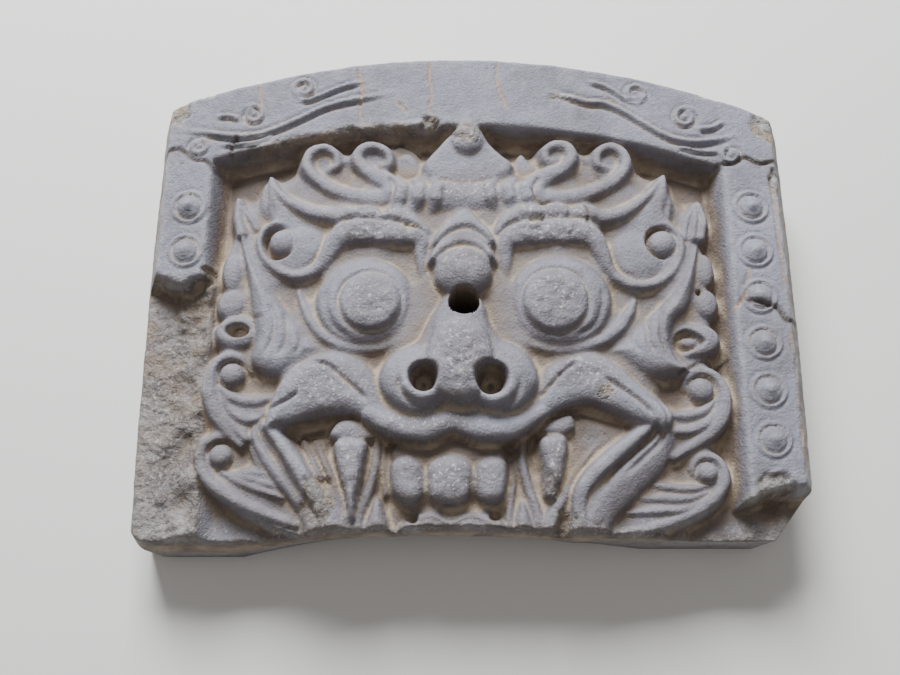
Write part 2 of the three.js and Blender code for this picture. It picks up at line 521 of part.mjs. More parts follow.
function gums() {
  slab([[-61, -70], [-58, -64], [-52, -62.5], [-46, -65], [-41, -71], [-51, -73.5]], 17, 4, 4, 1);
  slab([[29, -67.5], [36, -62.5], [44, -61], [45, -67], [38, -71]], 17, 4, 4, 1);
  slab([[-36, -84], [-35, -76], [-27, -74], [-20, -77], [-9, -72.5], [1, -77], [8, -74.5], [16, -77],
    [16, -84]], 13.5, 3, 3, 1);
}

function teeth() {
  slab([[-58.5, -73], [-52, -71.5], [-45, -73], [-46, -84], [-48, -95], [-50.5, -107], [-54, -96],
    [-57.5, -84]], 21, 5, 7, 0.4);
  slab([[30, -72], [36, -69.5], [41, -71], [40.5, -82], [38, -92], [35.5, -97], [32, -97], [31, -85]],
    20, 4.5, 6, 0.4);
  slab([[-34, -82], [-30.5, -79], [-26, -78.5], [-20.8, -82.5], [-20, -90], [-21.5, -97.5], [-27, -99.5],
    [-32.5, -96], [-34.5, -89]], 19.5, 6, 5.5, 0.3);
  slab([[-18.5, -83], [-14, -79.5], [-9, -78.5], [-4, -79.5], [0, -83], [0.2, -90], [-2, -98],
    [-9, -100], [-16.5, -98], [-19, -90]], 21, 7, 6, 0.3);
  slab([[1.8, -83], [5, -79.8], [9, -79], [14.5, -81], [15, -90], [13, -97.5], [8, -99.5], [3, -97.5],
    [1.6, -90]], 19.5, 6, 5.5, 0.3);
  slab([[-31, -124], [-30, -109], [-25, -105.5], [-17, -103], [-9, -105.5], [-1, -103], [8, -104.5],
    [14, -108], [15, -124]], 13, 5, 4, 1);
  slab([[-46.5, -124], [-45.5, -112], [-43.5, -103.5], [-40.3, -96.5], [-37.5, -103.5], [-35.5, -112],
    [-34, -124]], 16, 4, 4, 0.4);
  slab([[16, -124], [17.5, -112], [19.5, -104], [21.8, -98.5], [24.5, -104], [27, -112], [28, -124]],
    16, 4, 4, 0.4);
}

function mouthFolds() {
  slab([[-72, -74], [-64, -70], [-60, -86], [-52, -108], [-47, -124], [-58, -124], [-62, -103]],
    11, 6, 3, 1);
  for (const k of [0, 1]) {
    ridge([[-73 + k * 5.5, -72], [-67 + k * 5, -84], [-60 + k * 4, -96], [-53 + k * 2.5, -108]],
      [1.1, 1.5, 1.6, 1.6], [11, 13.5, 14, 13.5], 0.5, 1);
  }
  ridge([[-40.5, -71], [-41.5, -82], [-44, -93], [-48, -104], [-49.5, -114]], [1.8, 1.8, 1.8, 2, 2.4],
    [14, 14, 14, 13.5, 14], 0.6, 1.2);
  ridge([[-37.5, -72], [-36.5, -84], [-37, -95]], [1.2, 1.4, 1], [11, 12, 11], 0.6, 1);
  ridge([[23, -70], [22, -80], [24.5, -92], [28, -103], [29.5, -114]], [1.8, 1.6, 1.6, 1.8, 2.4],
    [14, 13, 13, 13.5, 14], 0.6, 1.2);
  ridge([[20, -74], [18.5, -88], [16.5, -100], [16, -114]], [1.4, 1.4, 1.4, 1.8], [11, 11, 12, 13], 0.6, 1);
  ridge([[57, -71], [48, -82], [41, -94], [35, -103], [31, -114]], [1, 1.4, 1.8, 2.4, 2.6],
    [12, 13.5, 14.5, 15, 15], 0.6, 1.2);
}

function earLeft() {
  slab([[-108, 30], [-111, 20], [-114, 12], [-113, 5], [-110, 1], [-115, -4], [-115, -11], [-112, -15],
    [-116, -20], [-113, -28], [-104, -33], [-96, -34], [-92, -20], [-96, -4], [-101, 14]],
    10, 4, 3, 1);
  slab([[-108, 33], [-102, 18], [-96, 7], [-90, -1.5], [-83, -10.5], [-74, -21], [-64, -31.5], [-71, -38],
    [-78, -42.5], [-86, -45], [-93, -42.5], [-98, -36], [-97, -27], [-98.5, -15], [-101, 0],
    [-104.5, 16]], 20, 9, 11, 0.8);
  dome(-109, 7, 4.5, 9, 12.5, 3, 0.4);
  dome(-108.5, -9, 6, 6.5, 13.5, 3, 0.4);
  dome(-104.5, -22.5, 9.5, 7.5, 15, 3, 0.4);
  for (const k of [0, 1, 2]) {
    groove([[-90 + k * 6.5, -10 - k * 5], [-87 + k * 6, -19 - k * 3.5], [-87.5 + k * 6, -27 - k * 2],
      [-91.5 + k * 7, -36 + k * 0.6]], 1.5, 2);
    ridge([[-91 + k * 6.4, -14 - k * 4.6], [-88.8 + k * 6, -20 - k * 3.5], [-89.2 + k * 6, -27 - k * 2],
      [-92.5 + k * 7, -33.5 - k * 0.4]], [0.6, 1, 1, 0.7], [17, 18.5, 18, 14], 0.3, 0.6);
  }
}

function earRight() {
  slab([[105, 22], [110, 14], [113, 7], [111, 1], [108, -2], [113, -8], [112, -14], [109, -18],
    [112, -23], [110, -31], [102, -35], [92, -35], [90, -22], [96, -6], [101, 10]], 10, 4, 3, 1);
  slab([[105, 21], [103.5, 6], [101, -5], [98, -13], [92, -20], [90, -28], [93, -36], [98, -40], [90, -44],
    [81, -45], [73, -42], [66, -37], [59, -32], [68, -26], [77, -18], [85, -10], [93, 0], [99, 11]],
    20, 9, 11, 0.8);
  dome(108, 8, 4.2, 8, 12.5, 3, 0.4);
  dome(107.5, -8.5, 5, 6.5, 13.5, 3, 0.4);
  dome(101, -26, 10.5, 7.5, 15, 3, 0.4);
  for (const k of [0, 1, 2]) {
    groove([[86 - k * 6.5, -12 - k * 5], [84.5 - k * 6, -20 - k * 3.2], [84.5 - k * 6, -27 - k * 1.6],
      [88 - k * 6.6, -35 + k * 0.6]], 1.5, 2);
    ridge([[87 - k * 6.4, -16 - k * 4.6], [86 - k * 6, -21 - k * 3.2], [86.2 - k * 6, -27 - k * 1.6],
      [89 - k * 6.6, -33]], [0.6, 1, 1, 0.7], [17, 18.5, 18, 14], 0.3, 0.6);
  }
}

function beardLeft() {
  slab([[-97, -35], [-104, -33], [-112, -34], [-117, -40], [-117.5, -50], [-115, -60], [-109, -68],
    [-101, -76], [-93, -80], [-86, -66], [-84, -54], [-92, -49], [-98, -46]], 9, 4, 3, 1);
  ridge([[-98, -40], [-101.5, -35], [-107, -33.5], [-112.5, -36], [-115.2, -42], [-115.3, -50],
    [-112.5, -58], [-107, -66], [-100, -73]], [1.4, 1.8, 2, 2.2, 2.6, 3, 3.2, 2.8, 2],
    [10, 12, 13.5, 14, 14, 14, 13.5, 13, 13], 0.8, 1.6);
  ridge([[-111, -48], [-105, -52.5], [-97, -54.5], [-86, -53]], [1.4, 2.2, 2.2, 1.6], [12, 14, 14.5, 15],
    0.6, 1.6);
  ridge([[-109.5, -53], [-104.5, -59], [-98.5, -62.5], [-92, -63]], [1.2, 2, 2, 1.4], [12, 14, 14.5, 15],
    0.6, 1.6);
  ridge([[-109, -59], [-103, -66], [-97, -71]], [1.2, 2, 1.8], [12, 13.5, 15], 0.6, 1.6);
  slab([[-98, -74], [-104, -70], [-111, -68.5], [-117.5, -71], [-120, -78], [-118, -87], [-112, -94],
    [-100, -102], [-86, -109], [-72, -113], [-76, -98], [-88, -86]], 8, 4, 3, 1);
  ridge([[-99.5, -76], [-104, -71.3], [-110.5, -69.5], [-116, -72.5], [-118, -79], [-115.5, -86],
    [-109, -92.5], [-99, -98.5], [-87, -103.5], [-75, -108]],
    [1.2, 1.6, 2, 2.2, 2.4, 2.4, 2.4, 2.2, 2, 1.2],
    [9, 10.5, 11.5, 12, 12, 12, 12, 12, 12, 11], 0.8, 1.6);
  for (const k of [0, 1, 2]) {
    ridge([[-108 + k * 2.4, -85 - k * 0.6], [-100 + k * 1.5, -89.5 + k * 2.2],
      [-92 + k * 2.2, -92.6 + k * 2.8],
      [-81 + k * 1.5, -96.4 + k * 3.6]], [1, 1.6, 1.6, 0.9], [10, 12, 12.5, 13], 0.5, 1.3);
  }
  ridge([[-108, -95.5], [-97, -101.6], [-85, -107], [-74, -111]], [1, 1.4, 1.4, 0.9], [8.5, 9.5, 9.5, 9],
    0.5, 1);
}

function beardRight() {
  slab([[95, -44], [100, -39], [107, -40], [112, -45], [114, -54], [112, -63], [106, -70], [98, -76],
    [90, -81], [86, -70], [86, -58], [93, -54]], 9, 4, 3, 1);
  ridge([[95, -48.5], [96, -43.5], [101, -40.5], [107, -42], [110.8, -47], [111.8, -54], [109.5, -62],
    [103.5, -68.5], [95.5, -74], [88, -79]], [1.2, 1.7, 2, 2.2, 2.5, 3, 3.2, 3, 2.4, 1.6],
    [10, 12, 13.5, 14, 14, 14, 13.5, 13, 13, 13], 0.8, 1.6);
  ridge([[108, -53.5], [101, -59], [94, -61], [87, -61]], [1.2, 2, 2, 1.4], [12, 14, 14.5, 15], 0.6, 1.6);
  ridge([[108, -59], [102, -64.5], [95, -67.5], [89, -68]], [1.2, 2, 2, 1.4], [12, 14, 14.5, 15], 0.6, 1.6);
  slab([[97, -79], [102, -77], [108, -79], [111.5, -85], [110, -93], [103, -101], [92, -107], [78, -112],
    [62, -113.5], [66, -100], [78, -90], [92, -84]], 7, 4, 3, 1);
  ridge([[97.5, -88], [96, -83.5], [98.5, -79.5], [103.5, -78.3], [108, -81.5], [109.6, -88], [106, -95],
    [98, -101], [87, -106], [74, -109.5], [61, -111]], [1.2, 1.5, 1.7, 1.9, 2.1, 2.4, 2.4, 2.2, 2, 1.6, 1],
    [9, 10.5, 11.5, 12, 12, 12, 12, 11.5, 11, 10.5, 10], 0.8, 1.6);
  for (const k of [0, 1, 2]) {
    ridge([[102 - k * 0.5, -91 - k * 3], [94 - k, -92.5 - k * 4.2], [84 - k * 2, -91.5 - k * 5.2],
      [76 - k * 5, -90.5 - k * 6]], [1, 1.6, 1.5, 0.8], [10, 11.5, 11.5, 10], 0.5, 1.3);
  }
}

function holes() {
  pit(-20.5, -47.5, 7.4, 7.6, 10);
  pit(8.5, -48, 8.2, 8.2, 9);
  pit(-25, -105.5, 3.2, 2.6, 6);
  pit(10, -104.5, 3, 2.4, 6);
  groove([[-71, -38.5], [-63, -40], [-57, -45], [-50.5, -50.5], [-44, -57]], 1.5, 2.4);
  groove([[29, -56], [34, -50], [40, -43.5], [47, -38]], 1.3, 2);
  groove([[58, -46], [64, -50], [72, -56], [79, -63]], 1.4, 2.4);
  groove([[-89, -60], [-80, -56], [-74, -52]], 1.4, 2.2);
  groove([[74, -52.5], [82, -57], [84.5, -64], [82, -72], [74, -80], [64, -89]], 1.5, 2);
  groove([[80, -64], [79, -70], [70, -78], [60, -87], [54, -95]], 1.5, 2);
  groove([[-88, -61], [-93, -64], [-92, -70], [-86, -79], [-78, -90], [-70, -102]], 1.5, 2);
  groove([[-94, -62], [-96.5, -69], [-92, -80], [-84, -91], [-76, -101]], 1.3, 1.6);
}

function curlBosses() {
  pit(-87.5, 19.5, 8, 8.5, 8);
  dome(-87, 20.5, 5.8, 5.8, 17, 7, 2);
  pit(87.5, 20, 7.6, 8.5, 8);
  dome(88, 21, 5.8, 5.8, 17, 7, 2);
  pit(-104.5, -22, 6, 3.6, 8);
  dome(-103.5, -21.5, 3, 1.5, 11, 2, 0.5);
  hollow([[91.5, -24], [96, -21], [101, -23], [105, -27], [101, -31], [94, -32.5], [90.5, -29]], 9);
  dome(98.5, -27, 5.5, 2.6, 12, 2.5, 0.6);
  pit(104.5, -3, 1.6, 2, 6);
  pit(-106.5, -41.5, 6.5, 6.5, 8);
  dome(-106.5, -41.8, 5, 5, 14.5, 5, 0.5);
  pit(-109.5, -77.5, 6, 6, 6);
  dome(-109.5, -77.5, 4.8, 4.8, 12.5, 4.5, 0.5);
  pit(102.5, -48.5, 6.5, 6.5, 8);
  dome(102.5, -48.5, 5.2, 5.2, 14.5, 5, 0.5);
  pit(102.5, -85, 5.4, 5.4, 6);
  dome(102.5, -85, 4.4, 4.4, 12.5, 4.5, 0.5);
}

function carveFace() {
  faceGround();
  crest();
  hornLeft();
  hornRight();
  tufts();
  browLeft();
  browRight();
  forehead();
  lids();
  eye(-44.5, -10.5, 12.8, 1);
  eye(37.5, -10, 13.8, -1);
  earLeft();
  earRight();
  beardLeft();
  beardRight();
  nose();
  cheeks();
  lips();
  easeCreases(3.5, 1.8, 120);
  easeCreases(7, 3.6, 120);
  easeCreases(13, 7, 120);
  curlBosses();
  mouth();
  gums();
  mouthFolds();
  teeth();
  easeCreases(3.5, 2.4, -75);
  holes();
}

// The frame: top band, two strips, and the fracture where the left strip was lost.
function insideDistanceOfFrame(x, y) {
  const band = y - (archAt(x) - BAND_DEPTH);
  const left = Math.min(FIELD_LEFT - x, y - LEFT_STRIP_END - 2 * Math.sin(x / 4));
  const right = Math.min(x - FIELD_RIGHT, y - RIGHT_STRIP_END - 0.2 * (x - FIELD_RIGHT));
  return Math.max(band, left, right);
}

function roughness(x, y) {
  return Math.sin(x * 0.31 + 2 * Math.sin(y * 0.13)) + Math.sin(y * 0.23 - x * 0.17) * 0.9;
}

function buildFrame() {
  for (let i = 0; i < height.length; i += 1) {
    const x = gridX[i];
    const y = gridY[i];
    const lost = Math.min(FIELD_LEFT + 2 - x, LEFT_STRIP_END + 6 - y);
    const broken = FRACTURE_HEIGHT + FRACTURE_SLOPE * (x - FIELD_LEFT) + roughness(x, y)
      + Math.min(0, lost * WALL_STEEPNESS * 0.6);
    height[i] = smoothMax(height[i], broken, 2);
    const inward = insideDistanceOfFrame(x, y);
    const edge = Math.max(0, 1 - Math.max(0, inward) / 2);
    const top = FRAME_HEIGHT - 0.8 * edge * edge + Math.min(0, inward * WALL_STEEPNESS);
    height[i] = smoothMax(height[i], top, 0.6);
  }
}

// The outer edges slope in towards the front; the lower right corner is broken off.
function trimEdges() {
  for (let i = 0; i < height.length; i += 1) {
    const x = gridX[i];
    const y = gridY[i];
    const side = sideAt((y + HALF_HEIGHT) / TILE_HEIGHT);
    const cornerEase = x > HALF_WIDTH - LOST_CORNER_WIDTH ? 0.64 : 1;
    const leftEnd = (LEFT_FOOT_WEAR_WIDTH - HALF_WIDTH - x) / (LEFT_FOOT_WEAR_WIDTH / 3);
    const footWear = LEFT_FOOT_WEAR * Math.min(1, Math.max(0, leftEnd));
    const limit = Math.min(
      LEFT_EDGE_HEIGHT + 2.4 * Math.max(0, x + side),
      RIGHT_EDGE_HEIGHT + 1.9 * Math.max(0, side - x),
      TOP_EDGE_HEIGHT + 2.6 * Math.max(0, topAt(x) - y),
      FOOT_EDGE_HEIGHT - footWear + WALL_STEEPNESS * Math.max(0, (y - footAt(x)) * cornerEase),
    );
    height[i] = -smoothMax(-height[i], -limit, 1.5);
  }
}

function stud(x, y) {
  const ringRadius = STUD_RING_DIAMETER / 2;
  const domeRadius = STUD_DIAMETER / 2;
  for (let i = 0; i < height.length; i += 1) {
    const distance = Math.hypot(gridX[i] - x, gridY[i] - y);
    if (distance > ringRadius) continue;
    const fromRing = Math.abs(distance - ringRadius + STUD_RING_WIDTH / 2);
    const ring = FRAME_HEIGHT + STUD_RING_RISE * (1 - 2 * fromRing / STUD_RING_WIDTH);
    const q = distance / domeRadius;
    const domeTop = q < 1 ? FRAME_HEIGHT + STUD_RISE * Math.sqrt(1 - q * q) : FRAME_HEIGHT;
    height[i] = Math.max(height[i], ring, domeTop);
  }
}

function studRow(x, stripEnd) {
  const first = HALF_HEIGHT - FIRST_STUD_FROM_CROWN;
  for (let y = first; y - STUD_RING_DIAMETER / 2 > stripEnd; y -= STUD_PITCH) stud(x, y);
}

// Thin scrolls pressed into the top band, as shares of the half width: x and depth under the arch.
function bandScroll(points) {
  const line = curveThrough(points.map(([x, down]) => {
    const place = x * HALF_WIDTH;
    return [place, archAt(place) - down * HALF_WIDTH];
  }), false);
  for (let i = 0; i < height.length; i += 1) {
    if (gridY[i] < archAt(gridX[i]) - BAND_DEPTH) continue;
    const { distance } = nearest(line, gridX[i], gridY[i]);
    const q = Math.min(1, distance / SCROLL_WIDTH);
    height[i] -= SCROLL_DEPTH * (1 - q * q);
  }
}

function bandScrolls() {
  bandScroll([[-0.89, 0.113], [-0.75, 0.18], [-0.65, 0.193], [-0.56, 0.187], [-0.47, 0.153],
    [-0.37, 0.133], [-0.25, 0.127]]);
  bandScroll([[-0.56, 0.093], [-0.527, 0.06], [-0.493, 0.087], [-0.52, 0.113], [-0.56, 0.093]]);
  bandScroll([[-0.72, 0.133], [-0.687, 0.093], [-0.653, 0.12], [-0.687, 0.14]]);
  bandScroll([[0.25, 0.113], [0.37, 0.127], [0.43, 0.12], [0.5, 0.14], [0.57, 0.173], [0.65, 0.187],
    [0.76, 0.16]]);
  bandScroll([[0.52, 0.047], [0.507, 0.08], [0.54, 0.107], [0.567, 0.073], [0.547, 0.047]]);
  bandScroll([[0.64, 0.1], [0.68, 0.067], [0.72, 0.093], [0.687, 0.133], [0.66, 0.113]]);
}

// The closed body: carved front, side walls straight down from its rim, and the flat back.
function closedBody() {
  const vertices = [];
  const triangles = [];
  for (let i = 0; i < height.length; i += 1) vertices.push(gridX[i], gridY[i], height[i]);
  for (let row = 0; row < GRID_CELLS; row += 1) {
    for (let column = 0; column < GRID_CELLS; column += 1) {
      const a = row * GRID_POINTS + column;
      const b = a + 1;
      const c = b + GRID_POINTS;
      const d = a + GRID_POINTS;
      const fallAlongAc = Math.abs(height[a] - height[c]);
      const fallAlongBd = Math.abs(height[b] - height[d]);
      if (fallAlongAc < fallAlongBd) triangles.push(a, b, c, a, c, d);
      else triangles.push(a, b, d, b, c, d);
    }
  }
  const rim = [];
  for (let n = 0; n < GRID_CELLS * 4; n += 1) {
    const step = n % GRID_CELLS;
    const [column, row] = [[step, 0], [GRID_CELLS, step], [GRID_CELLS - step, GRID_CELLS],
      [0, GRID_CELLS - step]][Math.floor(n / GRID_CELLS)];
    rim.push(row * GRID_POINTS + column);
  }
  const firstBack = vertices.length / 3;
  for (const vertex of rim) {
    const onFoot = vertex < GRID_POINTS ? footHollowAt(gridX[vertex]) : 0;
    vertices.push(gridX[vertex], gridY[vertex] + FOOT_UNDERCUT * onFoot, 0);
  }
  rim.forEach((vertex, n) => {
    const next = (n + 1) % rim.length;
    triangles.push(firstBack + n, firstBack + next, rim[next]);
    triangles.push(firstBack + n, rim[next], vertex);
  });
  const backOutline = rim.map((vertex, n) => {
    const at = 3 * (firstBack + n);
    return new THREE.Vector2(vertices[at], vertices[at + 1]);
  });
  for (const [a, b, c] of THREE.ShapeUtils.triangulateShape(backOutline, [])) {
    triangles.push(firstBack + a, firstBack + c, firstBack + b);
  }
  return { vertices: Float64Array.from(vertices), triangles: Int32Array.from(triangles) };
}

// A heap of edges, cheapest first.
class EdgeHeap {
  constructor() {
    this.items = [];
  }

  push(item) {
    const { items } = this;
    let n = items.push(item) - 1;
    while (n > 0) {
      const parent = (n - 1) >> 1;
      if (items[parent].cost <= item.cost) break;
      items[n] = items[parent];
      n = parent;
    }
    items[n] = item;
  }

  pop() {
    const { items } = this;
    const first = items[0];
    const last = items.pop();
    if (items.length > 0) {
      let n = 0;
      for (;;) {
        let child = 2 * n + 1;
        if (child >= items.length) break;
        if (child + 1 < items.length && items[child + 1].cost < items[child].cost) child += 1;
        if (items[child].cost >= last.cost) break;
        items[n] = items[child];
        n = child;
      }
      items[n] = last;
    }
    return first;
  }
}

// Thins the facets: the edge whose loss moves the surface least is closed first, onto one of its ends.
function thinFacets({ vertices, triangles }, limit) {
  const count = vertices.length / 3;
  const quadrics = new Float64Array(count * 10);
  const stamps = new Int32Array(count);
  const facetsAt = Array.from({ length: count }, () => new Set());
  const normal = [0, 0, 0];
  const facetNormal = (a, b, c) => {
    const ux = vertices[3 * b] - vertices[3 * a];
    const uy = vertices[3 * b + 1] - vertices[3 * a + 1];
    const uz = vertices[3 * b + 2] - vertices[3 * a + 2];
    const vx = vertices[3 * c] - vertices[3 * a];
    const vy = vertices[3 * c + 1] - vertices[3 * a + 1];
    const vz = vertices[3 * c + 2] - vertices[3 * a + 2];
    normal[0] = uy * vz - uz * vy;
    normal[1] = uz * vx - ux * vz;
    normal[2] = ux * vy - uy * vx;
    return Math.hypot(normal[0], normal[1], normal[2]);
  };
  for (let f = 0; f < triangles.length; f += 3) {
    const corners = [triangles[f], triangles[f + 1], triangles[f + 2]];
    const size = facetNormal(...corners);
    const [x, y, z] = normal.map((n) => n / (size || 1));
    const w = -(x * vertices[3 * corners[0]] + y * vertices[3 * corners[0] + 1]
      + z * vertices[3 * corners[0] + 2]);
    const plane = [x * x, x * y, x * z, x * w, y * y, y * z, y * w, z * z, z * w, w * w];
    for (const corner of corners) {
      facetsAt[corner].add(f);
      for (let k = 0; k < 10; k += 1) quadrics[corner * 10 + k] += plane[k] * size;
    }
  }
  const neighbours = (vertex) => {
    const found = new Set();
    for (const f of facetsAt[vertex]) {
      for (let k = 0; k < 3; k += 1) found.add(triangles[f + k]);
    }
    found.delete(vertex);
    return found;
  };
  const costAt = (one, other, at) => {
    const x = vertices[3 * at];
    const y = vertices[3 * at + 1];
    const z = vertices[3 * at + 2];
    const q = (k) => quadrics[one * 10 + k] + quadrics[other * 10 + k];
    return q(0) * x * x + 2 * q(1) * x * y + 2 * q(2) * x * z + 2 * q(3) * x + q(4) * y * y
      + 2 * q(5) * y * z + 2 * q(6) * y + q(7) * z * z + 2 * q(8) * z + q(9);
  };
  const heap = new EdgeHeap();
  const offer = (a, b) => {
    const costA = costAt(a, b, a);
    const costB = costAt(a, b, b);
    const [kept, gone] = costA < costB ? [a, b] : [b, a];
    const length2 = [0, 1, 2].reduce((sum, k) => sum + (vertices[3 * a + k] - vertices[3 * b + k]) ** 2, 0);
    const cost = Math.max(0, Math.min(costA, costB)) + length2 * EDGE_LENGTH_PENALTY;
    heap.push({ cost, kept, gone, stamp: stamps[kept] + stamps[gone] });
  };
  for (let f = 0; f < triangles.length; f += 3) {
    for (let k = 0; k < 3; k += 1) {
      const a = triangles[f + k];
      const b = triangles[f + (k + 1) % 3];
      if (a < b) offer(a, b);
    }
  }
  const wouldFold = (gone, kept) => {
    for (const f of facetsAt[gone]) {
      if (facetsAt[kept].has(f)) continue;
      const corners = [triangles[f], triangles[f + 1], triangles[f + 2]];
      const before = facetNormal(...corners);
      const old = [...normal];
      const after = facetNormal(...corners.map((c) => (c === gone ? kept : c)));
      const dot = old[0] * normal[0] + old[1] * normal[1] + old[2] * normal[2];
      if (after < 0.02 || dot < 0.25 * before * after) return true;
      if (old[2] > 1e-6 && normal[2] < 0.01 * after) return true;
    }
    return false;
  };
  let left = triangles.length / 3;
  while (left > limit && heap.items.length > 0) {
    const { kept, gone, stamp } = heap.pop();
    if (stamp !== stamps[kept] + stamps[gone]) continue;
    if (facetsAt[gone].size === 0 || facetsAt[kept].size === 0) continue;
    const near = neighbours(gone);
    if (!near.has(kept)) continue;
    const shared = [...neighbours(kept)].filter((vertex) => near.has(vertex));
    if (shared.length !== 2 || wouldFold(gone, kept)) continue;
    for (const f of [...facetsAt[gone]]) {
      if (facetsAt[kept].has(f)) {
        for (let k = 0; k < 3; k += 1) facetsAt[triangles[f + k]].delete(f);
        triangles[f] = -1;
        left -= 1;
      } else {
        for (let k = 0; k < 3; k += 1) if (triangles[f + k] === gone) triangles[f + k] = kept;
        facetsAt[kept].add(f);
      }
    }
    facetsAt[gone].clear();
    for (let k = 0; k < 10; k += 1) quadrics[kept * 10 + k] += quadrics[gone * 10 + k];
    stamps[kept] += 1;
    stamps[gone] += 1;
    for (const vertex of neighbours(kept)) offer(kept, vertex);
  }
  const renumbered = new Map();
  const position = [];
  const index = [];
  for (let f = 0; f < triangles.length; f += 3) {
    if (triangles[f] < 0) continue;
    for (let k = 0; k < 3; k += 1) {
      const vertex = triangles[f + k];
      if (!renumbered.has(vertex)) {
        renumbered.set(vertex, position.length / 3);
        position.push(vertices[3 * vertex], vertices[3 * vertex + 1], vertices[3 * vertex + 2]);
      }
      index.push(renumbered.get(vertex));
    }
  }
  const geometry = new THREE.BufferGeometry();
  geometry.setAttribute('position', new THREE.Float32BufferAttribute(position, 3));
  geometry.setIndex(index);
  return geometry;
}

const wasm = await Module();
wasm.setup();

function toManifold(geometry) {
  const numbers = new Float32Array(geometry.attributes.position.array);
  const triangles = new Uint32Array(geometry.index.array);
  return new wasm.Manifold(new wasm.Mesh({ numProp: 3, vertProperties: numbers, triVerts: triangles }));
}

function toGeometry(manifold) {
  const mesh = manifold.getMesh();
  const geometry = new THREE.BufferGeometry();
  geometry.setAttribute('position', new THREE.Float32BufferAttribute(Array.from(mesh.vertProperties), 3));
  geometry.setIndex(Array.from(mesh.triVerts));
  geometry.computeVertexNormals();
  return geometry;
}

function nailHole() {
  const length = FRAME_HEIGHT + NOSE_RISE + 20;
  const cylinder = new THREE.CylinderGeometry(NAIL_HOLE_DIAMETER / 2, NAIL_HOLE_DIAMETER / 2, length, 32);
  cylinder.rotateX(Math.PI / 2);
  cylinder.translate(NAIL_HOLE_X, NAIL_HOLE_Y, length / 2 - 10);
  cylinder.deleteAttribute('normal');
  cylinder.deleteAttribute('uv');
  return mergeVertices(cylinder, 1e-4);
}

carveFace();
buildFrame();
trimEdges();
studRow(LEFT_STUD_X, LEFT_STRIP_END);
studRow(RIGHT_STUD_X, RIGHT_STRIP_END);
bandScrolls();

const body = thinFacets(closedBody(), FACET_LIMIT);
const tile = toManifold(body).subtract(toManifold(nailHole()));
const clay = new THREE.MeshStandardMaterial({ color: 0x8b8e95, roughness: 0.92, metalness: 0 });
const mesh = new THREE.Mesh(toGeometry(tile), clay);
mesh.name = 'demon_face_tile';

const part = new THREE.Group();
part.name = 'demon_face_roof_tile';
part.add(mesh);

export default part;
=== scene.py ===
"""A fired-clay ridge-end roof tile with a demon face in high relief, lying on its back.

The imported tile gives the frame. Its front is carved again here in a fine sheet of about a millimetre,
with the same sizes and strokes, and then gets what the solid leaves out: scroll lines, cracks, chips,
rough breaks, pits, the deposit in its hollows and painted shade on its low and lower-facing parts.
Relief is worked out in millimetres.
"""
import math

import bmesh
import bpy
import numpy as np
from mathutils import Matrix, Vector


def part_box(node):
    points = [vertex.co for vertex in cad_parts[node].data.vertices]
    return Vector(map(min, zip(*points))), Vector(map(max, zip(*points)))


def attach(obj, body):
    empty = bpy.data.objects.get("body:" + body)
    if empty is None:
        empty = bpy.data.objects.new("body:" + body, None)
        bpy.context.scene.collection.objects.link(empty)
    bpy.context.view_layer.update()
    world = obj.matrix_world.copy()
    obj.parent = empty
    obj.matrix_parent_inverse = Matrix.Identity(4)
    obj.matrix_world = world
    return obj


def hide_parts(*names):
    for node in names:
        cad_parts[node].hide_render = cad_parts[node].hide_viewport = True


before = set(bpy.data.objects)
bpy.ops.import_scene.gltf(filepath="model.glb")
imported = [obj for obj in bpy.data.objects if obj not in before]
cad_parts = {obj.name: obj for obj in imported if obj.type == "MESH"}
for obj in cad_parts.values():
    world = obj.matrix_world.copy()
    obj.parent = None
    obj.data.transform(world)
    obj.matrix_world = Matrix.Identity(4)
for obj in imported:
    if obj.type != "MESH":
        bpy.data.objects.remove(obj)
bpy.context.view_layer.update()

MM = 0.001

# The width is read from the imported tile, in millimetres. The height runs from the lowest point of
# the foot to the arch over the origin.
tile_low, tile_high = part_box("demon_face_tile")
TILE_WIDTH = (tile_high[0] - tile_low[0]) / MM
TILE_HEIGHT = 234.6
TILE_FOOT = -TILE_HEIGHT / 2

# The frame and the slab, as the solid has them.
SLAB_THICKNESS = 34
FRAME_RISE = 16
BAND_DEPTH = 36.5
LEFT_STRIP_WIDTH = 29
RIGHT_STRIP_WIDTH = 31
WALL_STEEPNESS = 3
PIT_STEEPNESS = 6
ARCH_SAGITTA = 26
ARCH_LEAN = 2.4
ARCH_INSET = 15
TOP_CORNER_RADIUS = 11
TOP_CORNER_DROP = 1.1
SIDE_SWELL = 1.5
FOOT_HOLLOW = 5.5
FOOT_HOLLOW_SPAN = 184
FOOT_HOLLOW_CENTRE = -13
FOOT_UNDERCUT = 6
RIGHT_FOOT_LOSS = 3.7
RIGHT_FOOT_START = 10
RIGHT_FOOT_RUN = 45
LOST_CORNER_WIDTH = 18
LOST_CORNER_SLOPE = 1.25
WORN_CORNER_RADIUS = 10
LEFT_EDGE_HEIGHT = 32
RIGHT_EDGE_HEIGHT = 38
TOP_EDGE_HEIGHT = 46
FOOT_EDGE_HEIGHT = 38
LEFT_FOOT_WEAR = 14
LEFT_FOOT_WEAR_WIDTH = 78
LEFT_STRIP_LENGTH = 114
RIGHT_STRIP_LENGTH = 213
FRACTURE_HEIGHT = 40
FRACTURE_SLOPE = 0.42
STUD_DIAMETER = 11.6
STUD_RISE = 4.2
STUD_RING_DIAMETER = 16.2
STUD_PITCH = 21.9
LEFT_STUD_SHARE = 0.68
RIGHT_STUD_SHARE = 0.63
FIRST_STUD_FROM_CROWN = 79.8
NAIL_HOLE_RADIUS = 7
NAIL_HOLE_X = -3
NAIL_HOLE_FROM_CROWN = 130.3

